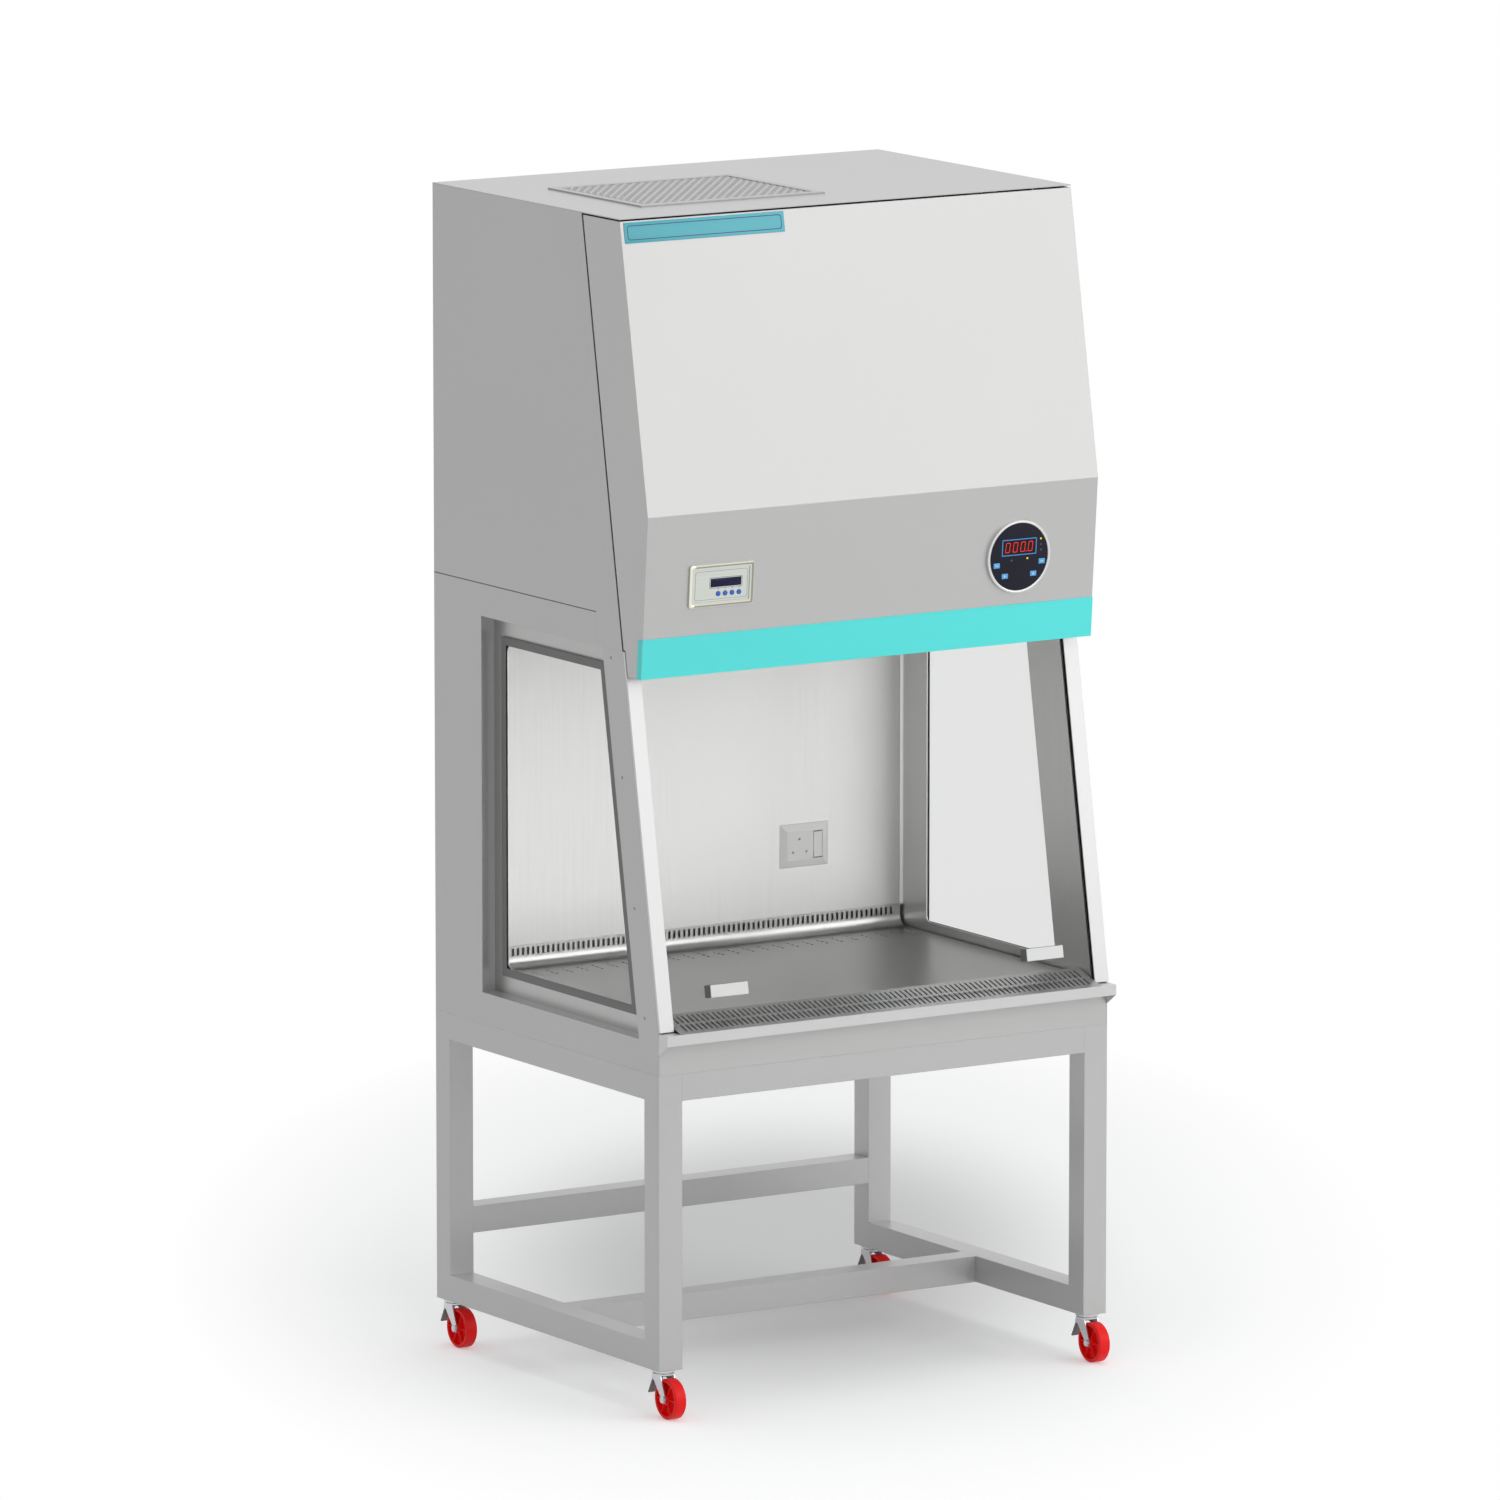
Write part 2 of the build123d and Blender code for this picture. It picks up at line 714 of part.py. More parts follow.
# Stainless back wall, with the socket's cut-out. The return duct is behind it.
with BuildPart() as back_wall:
    back_plane = Plane.XZ.offset(-chamber_back - liner)
    extrude(
        rectangle(back_plane, -chamber_half - liner, chamber_half + liner, upstand_top - 3.0, ceiling_z),
        amount=liner,
    )
    with BuildSketch(back_plane) as socket_cutout:
        with Locations((socket_x, socket_z)):
            Rectangle(socket_width - 2 * socket_bevel, socket_height - 2 * socket_bevel)
    extrude(amount=liner, mode=Mode.SUBTRACT)
save(back_wall.part, "back_wall")

# ---------------------------------------------------------------- sash, posts and guides
# Post: a bent channel screwed inside the outer panel, with a proud front flange.
post_along_low = 2.0
post_along_high = (outer_high_z - sill_z) / cos(front_slope)
with BuildPart() as post:
    with BuildSketch(slope_plane(0)) as post_front:
        with Locations((-half_width, post_along_low)):
            Rectangle(post_width, post_along_high - post_along_low, align=Align.MIN)
    extrude(amount=-skin)
    with BuildSketch(slope_plane(0)) as post_edge:
        with Locations((-half_width, post_along_low)):
            Rectangle(skin, post_along_high - post_along_low, align=Align.MIN)
    extrude(amount=-(panel_edge_behind - free_gap))
    with BuildSketch(slope_plane(0)) as post_web:
        with Locations((-half_width + skin, post_along_low)):
            Rectangle(skin, post_along_high - post_along_low, align=Align.MIN)
    extrude(amount=-post_depth)
save_pair(post.part, "window_post")

# Guides: black channels for the glass edges, from the armrest up into the hood.
guide_front = skin
guide_back = glass_behind + glass_thickness + free_gap + guide_lip
guide_low = 6.0
guide_high = glass_lift + glass_height + sash_travel + 25.0
guide_inner_x = chamber_half + liner
with BuildPart() as sash_guides:
    for side in (-1, 1):
        with BuildSketch(slope_plane(0).offset(-guide_front)) as guide_block:
            with Locations((side * (guide_inner_x + guide_depth / 2), (guide_low + guide_high) / 2)):
                Rectangle(guide_depth, guide_high - guide_low)
        extrude(amount=-(guide_back - guide_front))
        with BuildSketch(slope_plane(0).offset(-glass_behind + free_gap)) as guide_slot:
            with Locations((side * (guide_inner_x + guide_depth / 2 - guide_lip), (guide_low + guide_high) / 2)):
                Rectangle(guide_depth, guide_high - guide_low)
        extrude(amount=-(glass_thickness + 2 * free_gap), mode=Mode.SUBTRACT)
save(sash_guides.part, "sash_guides")

glass_half = guide_inner_x + guide_depth - guide_lip - 4.0
with BuildPart() as sash_glass:
    with BuildSketch(slope_plane(glass_behind)) as pane:
        with Locations((0, glass_lift + glass_height / 2)):
            Rectangle(2 * glass_half, glass_height)
    extrude(amount=-glass_thickness)
    chamfer(sash_glass.edges().filter_by(Axis.X), length=0.8)
save(sash_glass.part, "sash_glass")

# Handles: shallow pockets, open at the top, with a flat front.
with BuildPart() as sash_handles:
    for side in (-1, 1):
        with BuildSketch(slope_plane(glass_behind)) as handle_outline:
            with Locations((side * handle_spread, handle_along)):
                Rectangle(handle_width, handle_height, align=(Align.CENTER, Align.MIN))
        extrude(amount=handle_projection)
        with BuildSketch(slope_plane(glass_behind - skin)) as handle_pocket:
            with Locations((side * handle_spread, handle_along + skin)):
                Rectangle(handle_width - 2 * skin, handle_height, align=(Align.CENTER, Align.MIN))
        extrude(amount=handle_projection - 2 * skin, mode=Mode.SUBTRACT)
save(sash_handles.part, "sash_handles")

# Top rail: a channel gripping the glass, with an ear for each cable.
rail_half = chamber_half - 5.0
rail_low = glass_lift + glass_height - 12.0
rail_high = rail_low + 27.0
ear_width = 16.0
cable_front = pulley_behind - pulley_radius
with BuildPart() as sash_rail:
    extrude(
        profile(
            slope_section(-rail_half),
            (glass_behind - skin, rail_low),
            (glass_behind, rail_low),
            (glass_behind, glass_lift + glass_height),
            (glass_behind + glass_thickness, glass_lift + glass_height),
            (glass_behind + glass_thickness, rail_low),
            (glass_behind + glass_thickness + skin, rail_low),
            (glass_behind + glass_thickness + skin, rail_high),
            (glass_behind - skin, rail_high),
        ),
        amount=2 * rail_half,
    )
    for side in (-1, 1):
        extrude(
            rectangle(
                slope_section(side * cable_spread - ear_width / 2),
                glass_behind + glass_thickness,
                cable_front + 4 * cable_radius,
                rail_high - 12.0,
                rail_high,
            ),
            amount=ear_width,
        )
        ear_bore = Plane(
            slope_plane(cable_front).from_local_coords((side * cable_spread, rail_high, 0)),
            x_dir=(1, 0, 0),
            z_dir=(0, sin(front_slope), cos(front_slope)),
        )
        with BuildSketch(ear_bore) as ear_hole:
            Circle(cable_radius + free_gap)
        extrude(amount=-12.0, mode=Mode.SUBTRACT)
save(sash_rail.part, "sash_rail")

# Cables: down the sash side, over the pulley and down the counterweight side.
weight_rest_high = pulley_along - pulley_radius - 12.0
weight_rest_low = weight_rest_high - weight_height
cable_back = pulley_behind + pulley_radius
with BuildPart() as sash_cables:
    for side in (-1, 1):
        with BuildLine(slope_section(side * cable_spread)) as route:
            front_run = Line((cable_front, rail_low), (cable_front, pulley_along))
            over = CenterArc((pulley_behind, pulley_along), pulley_radius, 180, -180)
            back_run = Line((cable_back, pulley_along), (cable_back, weight_rest_low - sash_travel))
        with BuildSketch(Plane(origin=route.line @ 0, z_dir=route.line % 0)) as strand:
            Circle(cable_radius)
        sweep(path=route.line)
save(sash_cables.part, "sash_cables")

# Pulley shaft: one cross shaft with a grooved pulley near each end.
pulley_plane = slope_section(0)
pulley_centre = pulley_plane.from_local_coords((pulley_behind, pulley_along, 0))
shaft_half = inside_skin - 2.0
with BuildPart() as pulley_shaft:
    with BuildSketch(Plane(origin=pulley_centre, x_dir=(0, 1, 0), z_dir=(1, 0, 0))) as shaft_section:
        Circle(shaft_radius)
    extrude(amount=shaft_half, both=True)
    groove = pulley_radius - cable_radius - seat_gap
    rim = pulley_radius + 4.0
    for side in (-1, 1):
        with BuildSketch(Plane(origin=pulley_centre, x_dir=(1, 0, 0), z_dir=(0, 0, 1))) as pulley_half:
            with BuildLine():
                Polyline(
                    (side * cable_spread - pulley_width / 2, 0),
                    (side * cable_spread - pulley_width / 2, rim),
                    (side * cable_spread - 2.2, groove),
                    (side * cable_spread + 2.2, groove),
                    (side * cable_spread + pulley_width / 2, rim),
                    (side * cable_spread + pulley_width / 2, 0),
                    close=True,
                )
            make_face()
        revolve(axis=Axis(pulley_centre, (1, 0, 0)))
save(pulley_shaft.part, "pulley_shaft")

# Bearing blocks, bolted to the casing's sides.
bearing_inner_x = cable_spread + 30.0
with BuildPart() as shaft_bearings:
    for side in (-1, 1):
        block_x = min(side * bearing_inner_x, side * inside_skin)
        with BuildSketch(Plane(origin=(block_x, *tuple(pulley_centre)[1:]), x_dir=(0, 1, 0), z_dir=(1, 0, 0))):
            RectangleRounded(50.0, 50.0, 6.0)
            Circle(shaft_radius + running_fit, mode=Mode.SUBTRACT)
        extrude(amount=inside_skin - bearing_inner_x)
save(shaft_bearings.part, "shaft_bearings")

# Counterweight: a steel bar across the casing, bored for both cables.
with BuildPart() as counterweight:
    extrude(
        rectangle(
            slope_section(-2 * (chamber_half - weight_gap) / 2),
            cable_back - weight_depth / 2,
            cable_back + weight_depth / 2,
            weight_rest_low,
            weight_rest_high,
        ),
        amount=2 * (chamber_half - weight_gap),
    )
    chamfer(counterweight.edges().filter_by(Axis.X), length=3.0)
    for side in (-1, 1):
        weight_bore = Plane(
            slope_plane(cable_back).from_local_coords((side * cable_spread, weight_rest_high, 0)),
            x_dir=(1, 0, 0),
            z_dir=(0, sin(front_slope), cos(front_slope)),
        )
        with BuildSketch(weight_bore) as weight_hole:
            Circle(cable_radius + free_gap)
        extrude(amount=-weight_height, mode=Mode.SUBTRACT)
save(counterweight.part, "counterweight")

# ---------------------------------------------------------------- upper casing
casing_edge_behind = 8.0
casing_top_z = top_z - skin
with BuildPart() as upper_casing:
    for side_x in (-half_width, inside_skin):
        extrude(
            profile(
                side_section(side_x),
                (half_depth, seam_z),
                (half_depth, casing_top_z),
                (front_y(casing_top_z, casing_edge_behind), casing_top_z),
                (front_y(outer_high_z, casing_edge_behind), outer_high_z),
                (tongue_y, outer_high_z),
                (tongue_y, seam_z),
            ),
            amount=skin,
        )
    extrude(
        rectangle(Plane.XZ.offset(-half_depth), -inside_skin, inside_skin, seam_z, casing_top_z),
        amount=skin,
    )
save(upper_casing.part, "upper_casing")

# Top sheet, open under the exhaust grille.
vent_margin = 14.0
with BuildPart() as top_sheet:
    sheet_plane = Plane.XY.offset(casing_top_z)
    extrude(rectangle(sheet_plane, -half_width, half_width, hood_top_y, half_depth), amount=skin)
    extrude(
        rectangle(
            sheet_plane,
            grille_left + vent_margin,
            grille_right - vent_margin,
            grille_front + vent_margin,
            grille_back - vent_margin,
        ),
        amount=skin,
        mode=Mode.SUBTRACT,
    )
save(top_sheet.part, "top_sheet")

# Exhaust grille: a plate with staggered openings.
vent_pitch_x = 38.0
vent_pitch_y = 24.0
vent_slot_length = 26.0
vent_slot_width = 9.0
vent_columns = int((grille_right - grille_left - 2 * vent_margin) / vent_pitch_x)
vent_rows = int((grille_back - grille_front - 2 * vent_margin) / vent_pitch_y)
with BuildPart() as exhaust_grille:
    extrude(
        rectangle(Plane.XY.offset(top_z), grille_left, grille_right, grille_front, grille_back),
        amount=top_grille_thickness,
    )
    with BuildSketch(Plane.XY.offset(top_z)) as vents:
        vent_middle = ((grille_left + grille_right) / 2, (grille_front + grille_back) / 2)
        with Locations(vent_middle):
            with GridLocations(vent_pitch_x, vent_pitch_y, vent_columns, vent_rows):
                Rectangle(vent_slot_length, vent_slot_width)
            with GridLocations(vent_pitch_x, vent_pitch_y, vent_columns - 1, vent_rows - 1):
                Rectangle(vent_slot_length, vent_slot_width)
    extrude(amount=top_grille_thickness, mode=Mode.SUBTRACT)
save(exhaust_grille.part, "exhaust_grille")


def filter_pack(low_x, high_x, low_y, high_y, low_z, high_z):
    """A framed filter: the pleated pack is set back inside a flat-faced frame."""
    frame_width = 20.0
    pack_setback = 8.0
    with BuildPart() as pack:
        extrude(rectangle(Plane.XY.offset(low_z), low_x, high_x, low_y, high_y), amount=high_z - low_z)
        for recess_z in (low_z, high_z - pack_setback):
            extrude(
                rectangle(
                    Plane.XY.offset(recess_z),
                    low_x + frame_width,
                    high_x - frame_width,
                    low_y + frame_width,
                    high_y - frame_width,
                ),
                amount=pack_setback,
                mode=Mode.SUBTRACT,
            )
    return pack.part


filter_margin = 6.0
plenum_top_z = casing_top_z - exhaust_filter_height
supply_low_z = seam_z + filter_lift
supply_high_z = supply_low_z + supply_filter_height
save(
    filter_pack(
        grille_left - filter_margin,
        grille_right + filter_margin,
        grille_front - filter_margin,
        grille_back + filter_margin,
        plenum_top_z,
        casing_top_z,
    ),
    "exhaust_filter",
)
save(
    filter_pack(
        -supply_filter_half_width,
        supply_filter_half_width,
        filter_front,
        filter_back,
        supply_low_z,
        supply_high_z,
    ),
    "supply_filter",
)

# Plenum box: blown full by the fan, open down to the supply filter and up to the exhaust filter.
blower_z = (supply_high_z + plenum_top_z) / 2
with BuildPart() as plenum_box:
    plenum_plane = Plane.XY.offset(supply_high_z)
    plenum_rise = plenum_top_z - supply_high_z
    extrude(
        rectangle(
            plenum_plane, -supply_filter_half_width, supply_filter_half_width, plenum_front, filter_back
        ),
        amount=plenum_rise,
    )
    extrude(rectangle(plenum_plane, -inside_skin, inside_skin, filter_front, filter_back), amount=skin)
    extrude(
        rectangle(
            plenum_plane.offset(plenum_rise - skin),
            -supply_filter_half_width,
            supply_filter_half_width,
            grille_front - filter_margin,
            filter_back,
        ),
        amount=skin,
    )
    extrude(
        rectangle(
            plenum_plane,
            -supply_filter_half_width + skin,
            supply_filter_half_width - skin,
            plenum_front + skin,
            filter_back - skin,
        ),
        amount=plenum_rise - skin,
        mode=Mode.SUBTRACT,
    )
    extrude(
        rectangle(
            plenum_plane,
            grille_left + vent_margin,
            grille_right - vent_margin,
            plenum_front + skin,
            grille_back - vent_margin,
        ),
        amount=plenum_rise,
        mode=Mode.SUBTRACT,
    )
    with BuildSketch(Plane.XZ.offset(-filter_back)) as inlet:
        with Locations((blower_x, blower_z)):
            Circle(inlet_radius)
    extrude(amount=skin, mode=Mode.SUBTRACT)
save(plenum_box.part, "plenum_box")

# Blower housing: a scroll that opens downwards, with its inlet in the plenum's back.
scroll_step = 12.0          # the scroll opens by this much each quarter turn
scroll_start = impeller_radius + 1.25 * scroll_step
scroll_crown = scroll_start + scroll_step
scroll_side = scroll_crown + scroll_step
outlet_drop = impeller_radius + 55.0
tongue_drop = impeller_radius + 13.0
housing_depth = impeller_width + 20.0
housing_back_y = filter_back - skin
with BuildPart() as blower_housing:
    scroll_plane = Plane(origin=(blower_x, housing_back_y, blower_z), x_dir=(1, 0, 0), z_dir=(0, -1, 0))
    with BuildSketch(scroll_plane) as scroll:
        with BuildLine():
            rise = TangentArc((-scroll_start, 0), (0, scroll_crown), tangent=(0, 1))
            turn = TangentArc((0, scroll_crown), (scroll_side, 0), tangent=rise % 1)
            Polyline(
                (scroll_side, 0),
                (scroll_side, -outlet_drop),
                (scroll_start / 4, -outlet_drop),
                (0, -tongue_drop),
            )
            TangentArc((0, -tongue_drop), (-scroll_start, 0), tangent=(-1, 0))
        make_face()
    extrude(amount=housing_depth)
    with BuildSketch(scroll_plane.offset(skin)) as scroll_inside:
        add(offset(scroll.sketch_local, amount=-skin, mode=Mode.PRIVATE))
        with Locations((scroll_side - skin, -outlet_drop)):
            Rectangle(scroll_side - scroll_start / 4 - 2 * skin, 2 * skin + 1, align=(Align.MAX, Align.CENTER))
    extrude(amount=housing_depth - 2 * skin, mode=Mode.SUBTRACT)
    with BuildSketch(scroll_plane) as eye:
        Circle(inlet_radius)
    extrude(amount=skin, mode=Mode.SUBTRACT)
    with BuildSketch(scroll_plane.offset(housing_depth - skin)) as shaft_hole:
        Circle(motor_shaft_radius + 2.0)
    extrude(amount=skin, mode=Mode.SUBTRACT)
save(blower_housing.part, "blower_housing")

motor_plane = scroll_plane.offset(housing_depth)
impeller_setback = 8.0
flange_thickness = 6.0
flange_width = 8.0
with BuildPart() as blower_motor:
    with BuildSketch(motor_plane) as motor_flange:
        Circle(motor_radius)
    extrude(amount=flange_thickness)
    with BuildSketch(motor_plane.offset(flange_thickness)) as motor_can:
        Circle(motor_radius - flange_width)
    extrude(amount=motor_length - flange_thickness)
    chamfer(blower_motor.faces().sort_by(Axis.Y)[0].edges(), length=4.0)
    with BuildSketch(motor_plane) as motor_shaft:
        Circle(motor_shaft_radius)
    extrude(amount=-(impeller_setback + impeller_width / 2))
save(blower_motor.part, "blower_motor")

# Impeller: forward-curved blades between a back plate and a front ring.
blade_chord = 20.0
blade_sheet = 1.6
blade_lean = 32.0
ring_inner = impeller_radius - blade_chord
with BuildPart() as impeller:
    plate_plane = motor_plane.offset(-impeller_setback)
    with BuildSketch(plate_plane) as back_plate:
        Circle(impeller_radius)
    extrude(amount=-skin)
    with BuildSketch(plate_plane.offset(-impeller_width + skin)) as front_ring:
        Circle(impeller_radius)
        Circle(ring_inner, mode=Mode.SUBTRACT)
    extrude(amount=-skin)
    with BuildSketch(plate_plane.offset(-skin)) as blades:
        with PolarLocations(impeller_radius - blade_chord / 2, blade_count):
            with Locations(Location((0, 0, 0), (0, 0, blade_lean))):
                Rectangle(blade_chord, blade_sheet)
    extrude(amount=-(impeller_width - 2 * skin))
    with BuildSketch(plate_plane) as hub:
        Circle(2.5 * motor_shaft_radius)
    extrude(amount=-impeller_width / 3)
    with BuildSketch(plate_plane) as hub_bore:
        Circle(motor_shaft_radius + running_fit)
    extrude(amount=-impeller_width / 2, mode=Mode.SUBTRACT)
save(impeller.part, "impeller")

# Diffuser: the chamber's slotted ceiling, under the supply filter.
diffuser_front = front_y(ceiling_z, liner_behind)
diffuser_slots = 8
diffuser_rows = 5
with BuildPart() as diffuser:
    extrude(
        rectangle(
            Plane.XY.offset(ceiling_z - liner), -chamber_half, chamber_half, diffuser_front, chamber_back
        ),
        amount=liner,
    )
    with BuildSketch(Plane.XY.offset(ceiling_z - liner)) as diffuser_openings:
        with Locations((0, (filter_front + filter_back) / 2 + 20.0)):
            with GridLocations(
                2 * chamber_half / (diffuser_slots + 1),
                (filter_back - filter_front) / (diffuser_rows + 1),
                diffuser_slots,
                diffuser_rows,
            ):
                Rectangle(70.0, 12.0)
    extrude(amount=liner, mode=Mode.SUBTRACT)
    for side in (-1, 1):
        notch_x = side * cable_spread
        notch_back = front_y(ceiling_z, cable_front) + ear_width
        notch = rectangle(
            Plane.XY.offset(ceiling_z - liner), notch_x - ear_width, notch_x + ear_width, diffuser_front, notch_back
        )
        extrude(notch, amount=liner, mode=Mode.SUBTRACT)
save(diffuser.part, "diffuser")

# Lamp: a sealed batten under the front of the ceiling.
lamp_y = filter_front - 30.0
with BuildPart() as lamp:
    lamp_top = ceiling_z - liner
    with BuildSketch(side_section(-lamp_length / 2)) as lamp_section:
        with Locations((lamp_y, lamp_top - 5.0)):
            Rectangle(2 * lamp_radius + 8.0, 10.0)
        with Locations((lamp_y, lamp_top - 10.0)):
            Circle(lamp_radius)
        with Locations((lamp_y, lamp_top)):
            Rectangle(4 * lamp_radius, 20.0, align=(Align.CENTER, Align.MIN), mode=Mode.SUBTRACT)
    extrude(amount=lamp_length)
save(lamp.part, "lamp")

# ---------------------------------------------------------------- hood
hood_half = half_width - hood_side_gap
hood_fold_z = top_z - hood_fold_drop
hinge_z = casing_top_z - hinge_drop
hood_top_z = hinge_z + hinge_edge_rise


def hood_face_y(z):
    """Y of the hood's outer face at height z: a lower and an upper flat, folded between."""
    if z > hood_fold_z:
        return hood_fold_y + (hood_top_y - hood_fold_y) * (z - hood_fold_z) / hood_fold_drop
    lower_run = (hood_bottom_y - hood_fold_y) / (hood_fold_z - hood_bottom_z)
    return hood_fold_y + lower_run * (hood_fold_z - z)


hinge_y = hood_face_y(hinge_z) + hinge_setback
hood_step_z = outer_high_z + 2.0
cheek_clear_behind = -1.5
cheek_edge_behind = 4.5
face_lean = Vector(0, hood_bottom_y - hood_fold_y, hood_bottom_z - hood_fold_z).normalized()
lower_face = Plane(
    origin=(0, hood_bottom_y, hood_bottom_z),
    x_dir=(1, 0, 0),
    z_dir=(0, face_lean.Z, -face_lean.Y),
)
panel_middle = (panel_x, panel_up)
gauge_middle = (gauge_x, panel_up + 0.5)
with BuildPart() as hood:
    for cheek_x in (-hood_half, hood_half - skin):
        extrude(
            profile(
                side_section(cheek_x),
                (hood_face_y(hood_top_z), hood_top_z),
                (hood_fold_y, hood_fold_z),
                (hood_bottom_y, hood_bottom_z),
                (front_y(hood_bottom_z, cheek_clear_behind), hood_bottom_z),
                (front_y(hood_step_z, cheek_clear_behind), hood_step_z),
                (front_y(hood_step_z, cheek_edge_behind), hood_step_z),
                (front_y(hood_top_z, cheek_edge_behind), hood_top_z),
            ),
            amount=skin,
        )
    extrude(
        profile(
            side_section(-hood_half),
            (hood_face_y(hood_top_z), hood_top_z),
            (hood_fold_y, hood_fold_z),
            (hood_bottom_y, hood_bottom_z),
            (hood_bottom_y + 10 * skin, hood_bottom_z),
            (hood_bottom_y + 10 * skin, hood_bottom_z + skin),
            (hood_bottom_y + skin, hood_bottom_z + skin),
            (hood_fold_y + skin, hood_fold_z),
            (hood_face_y(hood_top_z) + skin, hood_top_z),
        ),
        amount=2 * hood_half,
    )
    with BuildSketch(lower_face) as openings:
        with Locations(panel_middle):
            Rectangle(panel_width - 3 * panel_rim, panel_height - 3 * panel_rim)
        with Locations(gauge_middle):
            Circle(gauge_can_radius + seat_gap)
    extrude(amount=3 * skin, both=True, mode=Mode.SUBTRACT)
    for side in (-1, 1):
        barrel_plane = Plane(
            origin=(side * hinge_spread - hinge_length / 6, hinge_y, hinge_z), x_dir=(0, 1, 0), z_dir=(1, 0, 0)
        )
        with BuildSketch(barrel_plane) as barrel:
            Circle(hinge_barrel_radius)
            Rectangle(
                hinge_setback - skin / 2, 2 * hinge_barrel_radius, align=(Align.MAX, Align.CENTER)
            )
            Circle(hinge_pin_radius + running_fit, mode=Mode.SUBTRACT)
        extrude(amount=hinge_length / 3)
save(hood.part, "hood")

# Hinge leaves under the top sheet, each with two barrels and its pin.
knuckle_gap = 0.4
with BuildPart() as hood_hinge:
    for side in (-1, 1):
        leaf_x = side * hinge_spread - hinge_length / 2
        with BuildSketch(side_section(leaf_x)) as leaf:
            with Locations((hinge_y + hinge_barrel_radius + 1.0, casing_top_z - skin)):
                Rectangle(10 * hinge_barrel_radius, skin, align=Align.MIN)
        extrude(amount=hinge_length)
        for knuckle_x in (leaf_x, leaf_x + 2 * hinge_length / 3 + knuckle_gap):
            with BuildSketch(side_section(knuckle_x)) as knuckle:
                with Locations((hinge_y, hinge_z)):
                    Circle(hinge_barrel_radius)
                with Locations((hinge_y + hinge_pin_radius, hinge_z)):
                    Rectangle(hinge_barrel_radius + 1.0, hinge_drop, align=Align.MIN)
            extrude(amount=hinge_length / 3 - knuckle_gap)
        with BuildSketch(side_section(leaf_x)) as pin:
            with Locations((hinge_y, hinge_z)):
                Circle(hinge_pin_radius)
        extrude(amount=hinge_length)
save(hood_hinge.part, "hood_hinge")

# Coloured band round the hood's lower edge.
band_top_z = hood_bottom_z + band_height
with BuildPart() as hood_band:
    extrude(
        profile(
            side_section(-hood_half - band_thickness),
            (hood_bottom_y - band_thickness, hood_bottom_z),
            (hood_bottom_y, hood_bottom_z),
            (hood_face_y(band_top_z), band_top_z),
            (hood_face_y(band_top_z) - band_thickness, band_top_z),
        ),
        amount=2 * hood_half + 2 * band_thickness,
    )
    for wrap_x in (-hood_half - band_thickness, hood_half):
        extrude(
            profile(
                side_section(wrap_x),
                (hood_bottom_y - band_thickness / 2, hood_bottom_z),
                (hood_bottom_y + band_wrap, hood_bottom_z),
                (hood_face_y(band_top_z) + band_wrap, band_top_z),
                (hood_face_y(band_top_z) - band_thickness / 2, band_top_z),
            ),
            amount=band_thickness,
        )
save(hood_band.part, "hood_band")

# Control panel: a raised rim round a plate with the screen's window and four button holes.
plate_raise = panel_raise / 2
screen_middle = (panel_x + 10.0, panel_up + 4.0)
button_middle = (panel_x + 16.6, panel_up - 16.6)
with BuildPart() as control_panel:
    with BuildSketch(lower_face) as panel_outline:
        with Locations(panel_middle):
            RectangleRounded(panel_width, panel_height, 5.0)
    extrude(amount=panel_raise)
    with BuildSketch(lower_face.offset(plate_raise)) as panel_pocket:
        with Locations(panel_middle):
            Rectangle(panel_width - 2 * panel_rim, panel_height - 2 * panel_rim)
    extrude(amount=plate_raise, mode=Mode.SUBTRACT)
    with BuildSketch(lower_face.offset(plate_raise)) as screen_recess:
        with Locations(screen_middle):
            Rectangle(screen_width, screen_height)
    extrude(amount=-plate_raise / 2, mode=Mode.SUBTRACT)
    with BuildSketch(lower_face) as button_holes:
        with Locations(button_middle):
            with GridLocations(button_pitch, 1, 4, 1):
                Circle(button_radius + seat_gap)
    extrude(amount=plate_raise, mode=Mode.SUBTRACT)
save(control_panel.part, "control_panel")


def push_button(x, y):
    """Round button with a flange that keeps it behind the panel's plate."""
    with BuildPart() as button:
        with BuildSketch(lower_face.offset(-seat_gap)):
            with Locations((x, y)):
                Circle(button_radius)
        extrude(amount=plate_raise + button_raise + seat_gap)
        with BuildSketch(lower_face.offset(-seat_gap)):
            with Locations((x, y)):
                Circle(button_radius + 1.5)
        extrude(amount=-1.5)
    return button.part


for index, button_name in enumerate(("mode", "down", "up", "set")):
    button_x = button_middle[0] + (index - 1.5) * button_pitch
    save(push_button(button_x, button_middle[1]), f"{button_name}_button")

# Pressure gauge: a bezel ring on the hood's face, with its can through the hood.
with BuildPart() as pressure_gauge:
    with BuildSketch(lower_face) as bezel:
        with Locations(gauge_middle):
            Circle(gauge_radius)
    extrude(amount=gauge_raise)
    with BuildSketch(lower_face.offset(gauge_raise)) as dial:
        with Locations(gauge_middle):
            Circle(gauge_radius - gauge_bezel)
    extrude(amount=-gauge_recess, mode=Mode.SUBTRACT)
    with BuildSketch(lower_face) as can:
        with Locations(gauge_middle):
            Circle(gauge_can_radius)
    extrude(amount=-gauge_can_depth)
save(pressure_gauge.part, "pressure_gauge")

